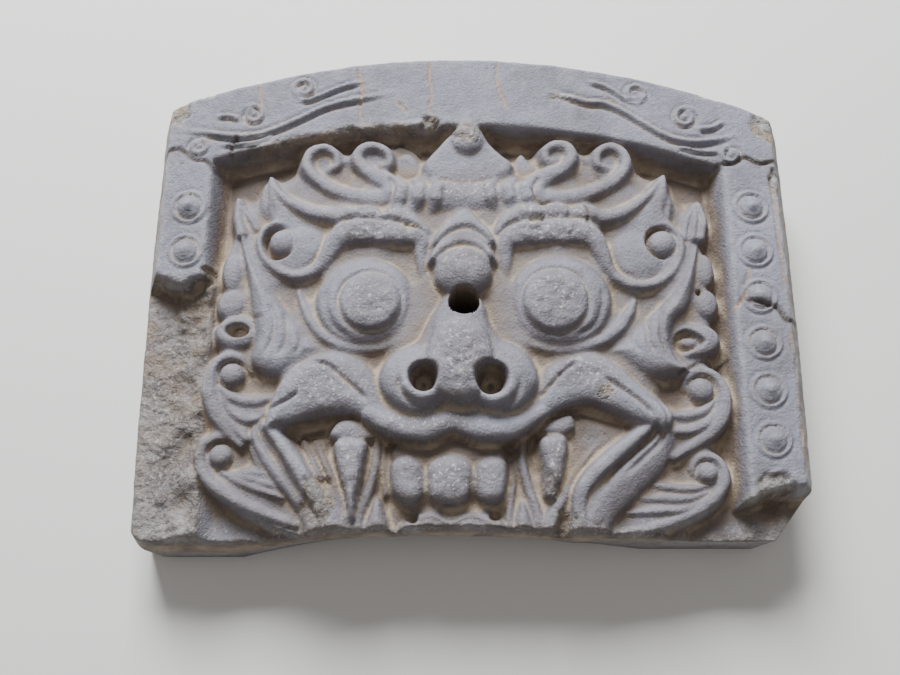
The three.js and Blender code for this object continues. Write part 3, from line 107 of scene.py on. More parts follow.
# The fine sheet: cells across and up, and rings down its outer wall.
CELLS_ACROSS = 328
CELLS_UP = 256
WALL_RINGS = 7

HALF_WIDTH = TILE_WIDTH / 2
HALF_HEIGHT = TILE_HEIGHT / 2
FRAME_HEIGHT = SLAB_THICKNESS + FRAME_RISE
FIELD_LEFT = -HALF_WIDTH + LEFT_STRIP_WIDTH
FIELD_RIGHT = HALF_WIDTH - RIGHT_STRIP_WIDTH
LEFT_STUD_X = -HALF_WIDTH + LEFT_STRIP_WIDTH * LEFT_STUD_SHARE
RIGHT_STUD_X = HALF_WIDTH - RIGHT_STRIP_WIDTH * RIGHT_STUD_SHARE
NAIL_HOLE_Y = HALF_HEIGHT - NAIL_HOLE_FROM_CROWN
LEFT_STRIP_END = HALF_HEIGHT - LEFT_STRIP_LENGTH
RIGHT_STRIP_END = HALF_HEIGHT - RIGHT_STRIP_LENGTH


def arch_at(x):
    reach = x / (HALF_WIDTH - ARCH_INSET)
    return HALF_HEIGHT - ARCH_SAGITTA * reach * reach - ARCH_LEAN * reach


def rounded_loss(distance_in, radius):
    t = np.clip(1 - distance_in / radius, 0, 1)
    return radius * (1 - np.sqrt(1 - t * t))


def top_at(x):
    return arch_at(x) - TOP_CORNER_DROP * rounded_loss(HALF_WIDTH - np.abs(x), TOP_CORNER_RADIUS)


def foot_hollow_at(x):
    across = (x - FOOT_HOLLOW_CENTRE) / (FOOT_HOLLOW_SPAN / 2)
    return np.maximum(0, 1 - across * across)


def foot_at(x):
    hollow_there = FOOT_HOLLOW * foot_hollow_at(x)
    loss = RIGHT_FOOT_LOSS * np.clip((x - RIGHT_FOOT_START) / RIGHT_FOOT_RUN, 0, 1)
    corner = np.maximum(0, x - (HALF_WIDTH - LOST_CORNER_WIDTH))
    worn = np.where(x < 0, rounded_loss(HALF_WIDTH + x, WORN_CORNER_RADIUS), 0)
    return TILE_FOOT + np.maximum(hollow_there, loss) + LOST_CORNER_SLOPE * corner + worn


def side_at(share):
    return HALF_WIDTH - SIDE_SWELL * (2 * share - 1) ** 2


# The sheet's points: rows from the foot up, columns from left to right.
share_up, share_across = np.meshgrid(np.linspace(0, 1, CELLS_UP + 1), np.linspace(-1, 1, CELLS_ACROSS + 1),
                                     indexing="ij")
sheet_x = side_at(share_up) * share_across
sheet_y = foot_at(sheet_x) + (top_at(sheet_x) - foot_at(sheet_x)) * share_up
height = np.full(sheet_x.shape, float(SLAB_THICKNESS))
flat_x = sheet_x.ravel()
flat_y = sheet_y.ravel()
flat_height = height.ravel()


def curve_through(points, closed=False, steps=6):
    """Points of a smooth curve through the given ones, close together where they are."""
    p = np.array(points, float)
    count = len(p)
    line = []
    for i in range(count if closed else count - 1):
        if closed:
            a, b, c, d = (p[(i + k) % count] for k in (-1, 0, 1, 2))
        else:
            b, c = p[i], p[i + 1]
            a = p[i - 1] if i > 0 else 2 * b - c
            d = p[i + 2] if i + 2 < count else 2 * c - b
        t1 = max(np.hypot(*(b - a)) ** 0.5, 1e-4)
        t2 = max(np.hypot(*(c - b)) ** 0.5, 1e-4)
        t3 = max(np.hypot(*(d - c)) ** 0.5, 1e-4)
        start = ((b - a) / t1 - (c - a) / (t1 + t2) + (c - b) / t2) * t2
        end = ((c - b) / t2 - (d - b) / (t2 + t3) + (d - c) / t3) * t2
        for step in range(steps):
            t = step / steps
            line.append((2 * t**3 - 3 * t**2 + 1) * b + (t**3 - 2 * t**2 + t) * start
                        + (-2 * t**3 + 3 * t**2) * c + (t**3 - t**2) * end)
    line.append(p[0] if closed else p[-1])
    return np.array(line)


def nearest(line, x, y):
    """Distance of each (x, y) from a line, and how far along the line its nearest place is."""
    best = np.full(x.shape, 1e9)
    along = np.zeros(x.shape)
    for i in range(len(line) - 1):
        ax, ay = line[i]
        dx, dy = line[i + 1] - line[i]
        t = np.clip(((x - ax) * dx + (y - ay) * dy) / max(dx * dx + dy * dy, 1e-12), 0, 1)
        distance = np.hypot(x - ax - t * dx, y - ay - t * dy)
        closer = distance < best
        best = np.where(closer, distance, best)
        along = np.where(closer, (i + t) / (len(line) - 1), along)
    return best, along


def is_inside(line, x, y):
    inside = np.zeros(x.shape, bool)
    for i in range(len(line) - 1):
        (ax, ay), (bx, by) = line[i], line[i + 1]
        if ay == by:
            continue
        crosses = (ay > y) != (by > y)
        inside ^= crosses & (x < (bx - ax) * (y - ay) / (by - ay) + ax)
    return inside


def points_near(line, margin):
    low = line.min(axis=0) - margin
    high = line.max(axis=0) + margin
    return np.flatnonzero((flat_x > low[0]) & (flat_x < high[0]) & (flat_y > low[1]) & (flat_y < high[1]))


def value_along(values, along):
    return np.interp(along, np.linspace(0, 1, len(values)), values)


def smooth_max(a, b, blend):
    h = np.maximum(blend - np.abs(a - b), 0) / blend
    return np.maximum(a, b) + h * h * blend / 4


def raise_to(near, rise, blend):
    flat_height[near] = smooth_max(flat_height[near], SLAB_THICKNESS + rise, blend)


def ridge(points, widths, rises, blend=1, drop=None):
    """A rounded ridge along a curve; half widths and rises over the ground are given along it."""
    line = curve_through(points)
    near = points_near(line, max(widths) + max(rises) / WALL_STEEPNESS + 2)
    distance, along = nearest(line, flat_x[near], flat_y[near])
    width = value_along(widths, along)
    q = np.minimum(1, distance / width)
    fall = (width * 0.8 if drop is None else drop) * (1 - np.sqrt(1 - q * q))
    beyond = np.maximum(0, distance - width)
    raise_to(near, value_along(rises, along) - fall - beyond * WALL_STEEPNESS, blend)


def dome(cx, cy, rx, ry, rise, drop, blend):
    """A dome or a low button, falling by drop to its rim and steeply outside it."""
    near = points_near(np.array([[cx, cy]]), max(rx, ry) + rise / WALL_STEEPNESS + 2)
    x, y = flat_x[near] - cx, flat_y[near] - cy
    q = np.hypot(x / rx, y / ry)
    beyond = np.where(q > 1, np.hypot(x, y) * (1 - 1 / np.maximum(q, 1e-6)), 0)
    fall = drop * (1 - np.sqrt(np.maximum(0, 1 - q * q)))
    raise_to(near, rise - fall - beyond * WALL_STEEPNESS, blend)


def slab(points, rise, edge, drop, blend, tilt_x=0, tilt_y=0):
    """A pad with a rounded edge and the outline of a closed curve; its top may be tilted."""
    line = curve_through(points, closed=True)
    near = points_near(line, rise / WALL_STEEPNESS + 3)
    x, y = flat_x[near], flat_y[near]
    distance, _ = nearest(line, x, y)
    q = np.maximum(0, 1 - distance / edge)
    middle_x, middle_y = np.mean(points, axis=0)
    top = rise + tilt_x * (x - middle_x) + tilt_y * (y - middle_y)
    inner = top - drop * (1 - np.sqrt(1 - q * q))
    outer = top - drop - distance * WALL_STEEPNESS
    raise_to(near, np.where(is_inside(line, x, y), inner, outer), blend)


def hollow(points, rise):
    """A hollow with a flat floor, sunk inside a closed curve."""
    line = curve_through(points, closed=True)
    near = points_near(line, 1)
    x, y = flat_x[near], flat_y[near]
    wall = flat_height[near] - nearest(line, x, y)[0] * WALL_STEEPNESS
    sunk = np.minimum(flat_height[near], np.maximum(SLAB_THICKNESS + rise, wall))
    flat_height[near] = np.where(is_inside(line, x, y), sunk, flat_height[near])


def pit(cx, cy, rx, ry, rise):
    """A round or oval hole with a flat floor."""
    near = points_near(np.array([[cx, cy]]), max(rx, ry))
    q = np.hypot((flat_x[near] - cx) / rx, (flat_y[near] - cy) / ry)
    wall = flat_height[near] - min(rx, ry) * (1 - q) * PIT_STEEPNESS
    sunk = -smooth_max(-flat_height[near], -np.maximum(SLAB_THICKNESS + rise, wall + 1), 2.4)
    flat_height[near] = np.where(q < 1.15, sunk, flat_height[near])


def groove(points, width, depth):
    """A groove pressed along a curve into whatever is there, fading out at its ends."""
    line = curve_through(points)
    near = points_near(line, width)
    distance, along = nearest(line, flat_x[near], flat_y[near])
    q = np.minimum(1, distance / width)
    ends = np.clip(np.minimum(along, 1 - along) * 7, 0.05, 1)
    flat_height[near] -= depth * ends * (1 - q * q) ** 1.5


def ring(centre, radius, width, depth):
    """A groove pressed round a circle, such as the rim of a pupil."""
    near = points_near(np.array([centre]), radius + width)
    distance = np.abs(np.hypot(flat_x[near] - centre[0], flat_y[near] - centre[1]) - radius)
    q = np.minimum(1, distance / width)
    flat_height[near] -= depth * (1 - q * q) ** 1.5


def spread(values, reach, pick):
    """The highest or lowest value within a round reach of each point of the sheet."""
    cells = int(reach * CELLS_ACROSS / TILE_WIDTH)
    rows, columns = values.shape
    padded = np.pad(values, cells, mode="edge")
    result = values
    for down in range(2 * cells + 1):
        wide = int((cells**2 - (down - cells) ** 2) ** 0.5)
        for aside in range(cells - wide, cells + wide + 1):
            result = pick(result, padded[down:down + rows, aside:aside + columns])
    return result


def softened(values, rounds):
    for _ in range(rounds):
        padded = np.pad(values, 1, mode="edge")
        beside = padded[1:-1, :-2] + padded[1:-1, 2:]
        values = (padded[:-2, 1:-1] + padded[2:, 1:-1] + beside + 2 * values) / 6
    return values


def ease_creases(reach, deepest, below):
    """Fills gaps narrower than twice the reach till they are no deeper than given, under a line."""
    relief = flat_height.reshape(sheet_x.shape)
    level = spread(spread(relief, reach, np.maximum), reach, np.minimum)
    eased = smooth_max(relief, softened(level, 3) - deepest, 1.6)
    share = np.clip((below - sheet_y) / 4, 0, 1)
    flat_height[:] = (relief + (eased - relief) * share).ravel()


def cord_line(points, width, rise):
    """A thin rounded line standing on whatever is there."""
    line = curve_through(points)
    near = points_near(line, width)
    distance, along = nearest(line, flat_x[near], flat_y[near])
    q = np.minimum(1, distance / width)
    ends = np.clip(np.minimum(along, 1 - along) * 8, 0.2, 1)
    flat_height[near] += rise * ends * np.sqrt(1 - q * q)


# Carving of the face, as the solid has it. Points are x, y and rises are over the sunk ground.

def face_ground():
    slab([[-84, 2], [-72, 38], [-45, 50], [0, 56], [42, 50], [70, 38], [84, 2], [82, -26], [90, -50],
          [96, -70], [86, -90], [70, -106], [62, -124], [-66, -124], [-76, -106], [-92, -86], [-98, -66],
          [-88, -46], [-80, -26]], 8, 10, 6, 2)
    dome(-4, -8, 84, 58, 14, 6, 3)


def crest():
    slab([[-1, 90], [5, 79], [9, 71.5], [15, 65], [20, 60], [18, 54], [8, 50], [-2, 44], [-10, 49],
          [-19, 53], [-21, 60], [-16, 67], [-11, 73], [-6, 79]], 17, 3.5, 3, 1)
    dome(-1, 71, 7.5, 7, 22, 6, 4)
    slab([[-54, 62], [-52, 70], [-44, 75], [-35, 75.5], [-27, 72], [-22, 64], [-24, 56], [-40, 56]],
         6, 3, 2, 1)
    slab([[-37, 58], [-35, 66], [-30, 69.5], [-25.5, 66.5], [-23, 60], [-25, 54], [-33, 53]], 9, 3.5, 3, 1)
    slab([[17, 60], [21, 64], [25, 69], [29, 64], [33, 59], [30, 54], [21, 53]], 9, 3, 2.5, 1)


def horn_left():
    slab([[-42, 45], [-52, 46], [-61, 48.5], [-67, 51.5], [-60, 56], [-62, 64], [-70, 68], [-77, 64],
          [-78.5, 57], [-73, 49], [-64, 43.5], [-52, 40], [-42, 38.5]], 12, 3, 3, 1)
    ridge([[-38, 41.5], [-48, 42], [-57, 44], [-65, 47.5], [-72, 52.5], [-76.5, 59], [-75, 66], [-69, 69],
           [-63.5, 66], [-62.5, 60], [-66.5, 57.5]],
          [3.6, 3.4, 3.1, 2.9, 2.6, 2.4, 2.2, 2, 1.9, 1.8, 1.6],
          [19, 18, 17.5, 17, 17, 17, 16.5, 16, 15.5, 15, 14], 0.8, 1.6)
    slab([[-36, 52], [-42, 56], [-41, 64], [-46, 68], [-52, 65], [-54, 59], [-48, 52], [-42, 47]],
         12, 3, 3, 1)
    ridge([[-34, 44], [-38, 49.5], [-44.5, 53.5], [-50, 58], [-53, 63.5], [-50, 68.5], [-44, 69.5],
           [-38.5, 66], [-38, 60.5], [-42.5, 59.5]], [6.5, 4.4, 3.4, 2.9, 2.5, 2.3, 2.1, 2, 1.8, 1.6],
          [20, 19, 18, 17.5, 17, 16.5, 16, 15.5, 15, 14], 0.8, 1.6)
    ridge([[-2, 41], [-14, 41.5], [-26, 42], [-36, 43.5]], [9, 9.5, 9, 7.5], [21, 22, 21.5, 20], 1, 9)
    for x in (-16, -24.5, -32.5):
        ridge([[x - 3, 31.5], [x, 39], [x + 1, 45], [x - 1, 51]], [2.2, 3.4, 3.4, 2], [18, 24, 24, 17],
              0.4, 2.6)
        groove([[x - 6, 32], [x - 3.6, 39], [x - 2.6, 45], [x - 4.6, 52]], 1.6, 3)


def horn_right():
    slab([[37, 45], [46, 46], [57, 48], [63, 52], [58, 57], [60, 66], [67, 70], [74, 66], [76, 58],
          [70, 49], [60, 43], [50, 40], [38, 38.5]], 12, 3, 3, 1)
    ridge([[34, 41.5], [44, 42], [54, 44.5], [62, 48], [69, 52.5], [73.5, 59], [72.5, 66], [67, 69.5],
           [61.5, 67], [60.5, 61], [65, 58.5]], [3.6, 3.4, 3.2, 3, 2.8, 2.5, 2.3, 2.1, 2, 1.8, 1.6],
          [19, 18, 17.5, 17, 17, 17, 16.5, 16, 15.5, 15, 14], 0.8, 1.6)
    slab([[31, 52], [38, 57], [36, 65], [43, 71], [50, 66], [49, 59], [42, 53], [36, 46]], 12, 3, 3, 1)
    ridge([[27.5, 43], [32, 50], [38.5, 54.5], [45, 58.5], [48.5, 64], [46, 69.5], [40.5, 70.5], [36, 67],
           [37, 62], [41.5, 62.5]], [6.5, 4.4, 3.4, 3, 2.7, 2.4, 2.2, 2, 1.8, 1.6],
          [20, 19, 18, 17.5, 17, 16.5, 16, 15.5, 15, 14], 0.8, 1.6)
    ridge([[-4, 41], [8, 41], [20, 41.5], [30, 43]], [9, 9.5, 9, 7.5], [21, 22, 21.5, 20], 1, 9)
    for x in (10, 19, 27):
        ridge([[x + 3, 31.5], [x, 39], [x - 1, 45], [x + 2, 51]], [2.2, 3.4, 3.4, 2], [18, 24, 24, 17],
              0.4, 2.6)
        groove([[x + 6, 32], [x + 3.6, 39], [x + 2.6, 45], [x + 5.6, 52]], 1.6, 3)


def brow_left():
    slab([[-94, 54], [-90, 45], [-81, 38], [-70, 34], [-58, 33], [-54, 24], [-62, 16], [-68, 6],
          [-76, 1.5], [-84, 2], [-92, 7], [-97, 16], [-97, 24], [-92, 31], [-91, 36], [-94, 44]],
         15, 4, 3, 1)
    dome(-76, 15, 12, 12, 18, 4, 3)
    ridge([[-93.5, 54], [-89.5, 46], [-82, 39], [-72, 34], [-62, 32.5], [-54, 32]],
          [1, 1.8, 2.6, 3.2, 3.6, 3.6], [13, 16, 18, 20, 21, 22], 1, 2.4)
    dome(-59, 31.3, 7, 4, 22, 3.5, 0.8)
    dome(-47.5, 31.6, 7, 4.4, 23.5, 3.5, 0.3)
    dome(-34.5, 29.6, 8.5, 4.4, 24.5, 3.5, 0.3)
    ridge([[-34, 29.5], [-27, 27.5], [-20.5, 23]], [4.2, 4, 3], [24, 24, 23], 0.6, 3)
    ridge([[-21.5, 17], [-25, 20.5], [-32, 22.2], [-40, 23], [-48, 23.4], [-55, 22.6], [-60.5, 19.5],
           [-64, 14], [-67, 8.5], [-71.5, 4.8], [-77, 3], [-83, 3.8], [-89.5, 7.5], [-94.5, 13.5],
           [-96.5, 20], [-94.5, 26.5], [-89, 30], [-83, 28.5]],
          [3.4, 4.6, 5.4, 5.8, 5.8, 5.8, 5.4, 4.4, 3.4, 2.8, 2.4, 2.3, 2.1, 1.9, 1.8, 1.6, 1.5, 1.2],
          [23, 24.5, 25, 25, 25, 24.5, 23.5, 22, 20.5, 19.5, 19, 18.5, 18, 17.5, 17, 16.5, 16, 15],
          0.6, 3)
    ridge([[-22.5, 19], [-21.8, 8], [-20.6, -2], [-19, -11]], [3.4, 2.4, 1.8, 1], [23, 22, 20, 18], 1, 2)
    groove([[-19, 21], [-25, 24.5], [-32, 26.7], [-40, 28], [-48, 28.8], [-56, 28.8], [-62, 26],
            [-66, 20.5], [-68.5, 14], [-72, 9], [-77, 6.5]], 1.5, 3)


def brow_right():
    slab([[92, 55], [86, 46], [77, 38], [68, 33.5], [58, 33], [52, 24], [59, 15], [64, 4], [70, -1.5],
          [78, -3], [87, -1], [94, 6], [98, 15], [98, 24], [94, 31], [91, 36], [93, 45]], 15, 4, 3, 1)
    dome(76, 13, 12, 12, 18, 4, 3)
    ridge([[91.5, 55], [85, 46], [77, 38.5], [69, 33.5], [61, 31.5], [54, 32]],
          [1, 1.8, 2.6, 3.2, 3.6, 3.6], [13, 16, 18, 20, 21, 22], 1, 2.4)
    dome(53, 32.4, 7.5, 4.6, 23, 3.5, 0.3)
    dome(40, 33.2, 7, 4.6, 23.5, 3.5, 0.3)
    dome(28, 32, 7, 4.4, 24, 3.5, 0.3)
    ridge([[30, 31.8], [23, 31], [17, 28], [12.5, 22]], [4, 4, 3.8, 2.6], [24, 24, 24, 23], 0.6, 3)
    ridge([[15, 14], [18, 19.5], [24, 22], [32, 22.8], [41, 23.4], [50, 23], [56, 19.5], [59.5, 13],
           [62, 7], [66, 2], [71.5, -1], [78, -1.8], [85, 0], [91.5, 5], [95.5, 11.5], [97.2, 19],
           [95.2, 26], [90, 29.6], [84.5, 28.5]],
          [3.4, 4.8, 5.6, 6, 6, 5.8, 5, 4, 3, 2.6, 2.4, 2.2, 2.1, 2, 1.9, 1.8, 1.6, 1.5, 1.2],
          [23, 24.5, 25, 25, 25, 24.5, 23.5, 22, 20.5, 19.5, 19, 18.5, 18, 17.5, 17, 16.5, 16, 15.5, 15],
          0.6, 3)
    ridge([[16, 16], [15.5, 8], [15, 0], [14, -8]], [3.6, 3, 2.4, 1.4], [23, 22, 20, 18], 1, 2)
    groove([[12, 19.5], [16, 24], [21, 26.5], [28, 27.6], [36, 28.6], [45, 29], [53, 28.8], [59, 27],
            [62.5, 21], [64, 14], [66.5, 8], [71, 3.8], [77, 2]], 1.5, 3)


def tufts():
    slab([[-96, 53], [-98.5, 46], [-98, 38], [-94, 32], [-88, 31], [-84, 33], [-88, 41], [-92, 48]],
         11, 3.5, 3, 1)
    ridge([[-93.5, 51], [-93, 42], [-91, 33]], [0.9, 1.5, 1.6], [10, 13, 13], 0.6, 1)
    ridge([[-91, 47], [-88.5, 40], [-86, 34]], [0.9, 1.4, 1.6], [11, 13.5, 14], 0.6, 1)
    slab([[-110, 47], [-112, 38], [-111, 29], [-108, 22], [-102, 24], [-97, 31], [-101, 37], [-106, 42]],
         8, 3.5, 3, 1)
    ridge([[-109, 44], [-108.5, 35], [-106, 26]], [0.9, 1.6, 2], [9, 11.5, 13], 0.6, 1)
    ridge([[-107, 41], [-103, 35], [-99, 29]], [0.8, 1.3, 1.4], [9, 10.5, 11], 0.6, 1)
    slab([[91, 54], [86, 44], [84, 34], [89, 31], [95, 33], [96.5, 42], [94, 49]], 11, 3.5, 3, 1)
    ridge([[91.5, 51], [89, 42], [87, 33]], [0.9, 1.5, 1.6], [10, 13, 13.5], 0.6, 1)
    ridge([[92.5, 50], [93, 41], [91.5, 33]], [0.9, 1.5, 1.6], [10, 13, 13], 0.6, 1)
    slab([[108.5, 45], [102, 39], [96, 31.5], [98, 25], [105, 21], [111, 24], [112.5, 33], [111.5, 40]],
         8, 3.5, 3, 1)
    for x in (101.5, 105.5, 109.5):
        ridge([[107.5 + (x - 105.5) * 0.3, 42], [x, 33], [x - 2, 24]], [0.8, 1.4, 1.5], [9, 11.5, 12.5],
              0.6, 1)


def forehead():
    dome(-2.5, 12, 15, 22, 21, 4, 3)
    slab([[-2, 33.5], [-8, 29.5], [-13.5, 22.5], [-16, 15.5], [-11, 20], [-2.5, 24.5], [5, 21],
          [10.5, 15.5], [8, 22.5], [3.5, 28.5]], 26, 2.4, 2, 0.4, 0, -0.3)
    slab([[-2.5, 22], [-9.5, 19.5], [-15.5, 13.5], [-17.5, 7], [-11, 12.5], [-3, 15.5], [4, 13],
          [10, 7.5], [8, 14], [4, 18.5]], 27.5, 2.2, 2, 0.4, 0, -0.3)
    dome(-3.5, 1.5, 13, 12, 33, 10, 0.5)


def eye(x, y, r, lid):
    dome(x - 2.2 * lid, y - 0.2, r + 9.6, r + 8.4, 27.8, 10.4, 0.6)
    dome(x, y - 1.5, r + 1.2, r + 1.2, 29.6, 4, 0.3)
    ring([x, y - 1.5], r + 1, 1.5, 1.8)
    groove([[x - lid * (r + 6.5), y + 5], [x - lid * (r + 6.8), y - 3], [x - lid * (r + 3), y - 12],
            [x - lid * r * 0.55, y - 18]], 1.6, 1.3)
    groove([[x + lid * (r + 4), y + 7], [x + lid * (r + 5), y - 1], [x + lid * (r + 2.5), y - 10]],
           1.5, 0.9)


def lids():
    slab([[-77, -4], [-74, -12], [-70, -19.5], [-64, -26], [-56, -30], [-47, -31.2], [-38, -30.5],
          [-29, -27], [-22, -20], [-17, -12], [-22, 4], [-27, 12], [-46, 15], [-60, 12], [-68, 3]],
         14, 3, 2, 1)
    ridge([[-77.5, -4], [-74.5, -12], [-70.5, -20], [-64.5, -26.5], [-56, -31], [-47, -32.2],
           [-38, -31.2], [-29, -27.5], [-22, -21], [-17, -14]],
          [0.9, 1.4, 1.8, 2, 2.1, 2.1, 2, 1.9, 1.7, 1.3], [16, 18.5, 20, 20.5, 21, 21, 21, 21, 21, 20],
          1.6, 1.2)
    slab([[74, -8], [71.5, -14], [66, -21], [60, -26], [52, -29.5], [42, -31.5], [33, -31], [25, -28.5],
          [18, -25], [12, -19], [16, 2], [22, 12], [40, 14], [54, 11], [64, -1]], 14, 3, 2, 1)
    ridge([[74, -8], [71.5, -14], [66.5, -21.5], [60, -27], [52, -30.5], [42, -32.5], [33, -32],
           [25, -29.5], [18, -26], [11.5, -20]], [0.9, 1.8, 2.2, 2.2, 2.1, 2.1, 2, 1.9, 1.7, 1.3],
          [16, 18.5, 20, 20.5, 21, 21, 21, 21, 21, 20], 1.6, 1.2)


def nose():
    slab([[-14, -14], [-19, -21], [-23, -29], [-31, -34], [-37, -39], [-40, -47], [-38, -54],
          [-33, -59.5], [-26, -62.5], [-19, -61.5], [-14, -58.5], [-6, -57.5], [0, -59], [6, -62],
          [12, -63], [20, -60.5], [26, -54.5], [29, -47], [27, -39], [21, -32.5], [13, -28], [8, -20],
          [6, -14]], 29, 12, 8, 3)
    dome(-22.5, -47.5, 16, 14.5, 32.5, 9, 4)
    dome(11.5, -47.5, 16.5, 14.5, 32.5, 9, 4)
    dome(-5, -40, 14, 18, 37.5, 7, 6)
    ridge([[-4, -17], [-4.5, -28]], [11, 13], [30, 34], 4)


def lips():
    slab([[-86, -54], [-82, -46], [-76, -40], [-68, -35.5], [-60, -34], [-50, -36.5], [-43, -42],
          [-39.5, -49], [-36, -57], [-30, -62], [-20, -63.5], [-8, -60], [4, -63.5], [16, -63.5],
          [24, -59], [29, -50], [31.5, -42], [40, -36.5], [50, -34], [58, -35.5], [66, -41], [74, -49],
          [82, -55], [87, -62], [84, -68], [74, -65.5], [62, -60], [50, -56.5], [38, -60], [28, -67],
          [12, -72], [-8, -68.5], [-24, -73], [-38, -69.5], [-50, -61.5], [-60, -60.5], [-72, -63],
          [-88, -68]], 22.5, 7, 5, 1.5)
    ridge([[-44, -62], [-34, -66.5], [-20, -69], [-8, -65.5], [4, -68.5], [18, -67.5], [30, -61]],
          [3.4, 4.4, 4.8, 4.4, 4.8, 4.4, 3.4], [23, 24.5, 25.5, 25, 25.5, 24.5, 23], 3, 4)


def cheeks():
    slab([[-84, -52], [-93, -58], [-98, -68], [-95, -80], [-86, -92], [-74, -104], [-66, -124],
          [-50, -124], [-60, -106], [-70, -92], [-80, -78], [-88, -66], [-78, -60]], 17, 14, 8, 1.5)
    slab([[76, -51], [84, -54.5], [89, -62], [90, -71], [84, -84], [72, -96], [60, -108], [54, -124],
          [42, -124], [43, -99], [50, -88], [64, -75], [76, -66], [68, -58]], 17, 14, 8, 1.5)


def mouth():
    hollow([[-86, -66], [-76, -64.5], [-66, -63], [-60, -61.5], [-50, -62.5], [-42, -69.5], [-32, -72],
            [-20, -74], [-8, -69.5], [4, -73.5], [14, -73], [24, -69.5], [36, -60], [46, -57.5],
            [56, -60], [64, -63], [76, -66.5], [62, -77], [50, -88], [46, -96], [44, -104], [42, -116],
            [-58, -116], [-62, -104], [-68, -94], [-74, -84], [-80, -76]], 7)
    slab([[46, -58], [57, -62], [75, -67], [60, -78], [48, -89], [41, -97], [39, -78]], 12, 5, 5, 1)
    ridge([[-88, -66.5], [-81, -75], [-74.5, -84], [-68, -94], [-62, -103], [-57, -113]],
          [1.6, 2.4, 2.6, 3, 3.6, 4.4], [19, 20, 20, 19.5, 18, 16], 0.8, 1.4)
    ridge([[77, -66.5], [68, -73.5], [59, -81], [51, -88.5], [46.5, -95], [46, -104], [46, -113]],
          [1.8, 2.4, 2.6, 2.8, 2.8, 2.8, 3.4], [19, 20, 20, 20, 19, 17, 16], 0.8, 1.4)


def gums():
    slab([[-61, -70], [-58, -64], [-52, -62.5], [-46, -65], [-41, -71], [-51, -73.5]], 17, 4, 4, 1)
    slab([[29, -67.5], [36, -62.5], [44, -61], [45, -67], [38, -71]], 17, 4, 4, 1)
    slab([[-33.5, -82], [-34, -76], [-28, -72], [-20, -74.5], [-9, -70], [1, -74.5], [8, -72.5],
          [14.5, -76], [14, -82]], 15.5, 4, 3, 2)


def teeth():
    slab([[-58.5, -73], [-52, -71.5], [-45, -73], [-46, -84], [-48, -95], [-50.5, -107], [-54, -96],
          [-57.5, -84]], 21, 5, 7, 0.4)
    slab([[30, -72], [36, -69.5], [41, -71], [40.5, -82], [38, -92], [35.5, -97], [32, -97], [31, -85]],
         20, 4.5, 6, 0.4)
    slab([[-34, -82], [-30.5, -79], [-26, -78.5], [-20.8, -82.5], [-20, -90], [-21.5, -97.5],
          [-27, -99.5], [-32.5, -96], [-34.5, -89]], 19.5, 6, 5.5, 0.3)
    slab([[-18.5, -83], [-14, -79.5], [-9, -78.5], [-4, -79.5], [0, -83], [0.2, -90], [-2, -98],
          [-9, -100], [-16.5, -98], [-19, -90]], 21, 7, 6, 0.3)
    slab([[1.8, -83], [5, -79.8], [9, -79], [14.5, -81], [15, -90], [13, -97.5], [8, -99.5], [3, -97.5],
          [1.6, -90]], 19.5, 6, 5.5, 0.3)
    slab([[-31, -124], [-30, -109], [-25, -105], [-17, -102.5], [-9, -105.5], [-1, -102.5], [8, -104],
          [14, -108], [15, -124]], 15, 4, 4, 1)
    groove([[-26, -108.5], [-17, -106], [-9, -109.5], [-1, -106], [8, -108.5]], 1.3, 1.2)
    slab([[-46.5, -124], [-45.5, -112], [-43.5, -103.5], [-40.3, -96.5], [-37.5, -103.5], [-35.5, -112],
          [-34, -124]], 16, 4, 4, 0.4)
    slab([[16, -124], [17.5, -112], [19.5, -104], [21.8, -98.5], [24.5, -104], [27, -112], [28, -124]],
         16, 4, 4, 0.4)


def mouth_folds():
    slab([[-72, -74], [-64, -70], [-60, -86], [-52, -108], [-47, -124], [-58, -124], [-62, -103]],
         11, 6, 3, 1)
    for k in (0, 1):
        ridge([[-73 + k * 5.5, -72], [-67 + k * 5, -84], [-60 + k * 4, -96], [-53 + k * 2.5, -108]],
              [1.1, 1.5, 1.6, 1.6], [11, 13.5, 14, 13.5], 0.5, 1)
    ridge([[-40.5, -71], [-41.5, -82], [-44, -93], [-48, -104], [-49.5, -114]], [1.8, 1.8, 1.8, 2, 2.4],
          [14, 14, 14, 13.5, 14], 0.6, 1.2)
    ridge([[-37.5, -72], [-36.5, -84], [-37, -95]], [1.2, 1.4, 1], [11, 12, 11], 0.6, 1)
    ridge([[23, -70], [22, -80], [24.5, -92], [28, -103], [29.5, -114]], [1.8, 1.6, 1.6, 1.8, 2.4],
          [14, 13, 13, 13.5, 14], 0.6, 1.2)
    ridge([[20, -74], [18.5, -88], [16.5, -100], [16, -114]], [1.4, 1.4, 1.4, 1.8], [11, 11, 12, 13],
          0.6, 1)
    ridge([[57, -71], [48, -82], [41, -94], [35, -103], [31, -114]], [1, 1.4, 1.8, 2.4, 2.6],
          [12, 13.5, 14.5, 15, 15], 0.6, 1.2)


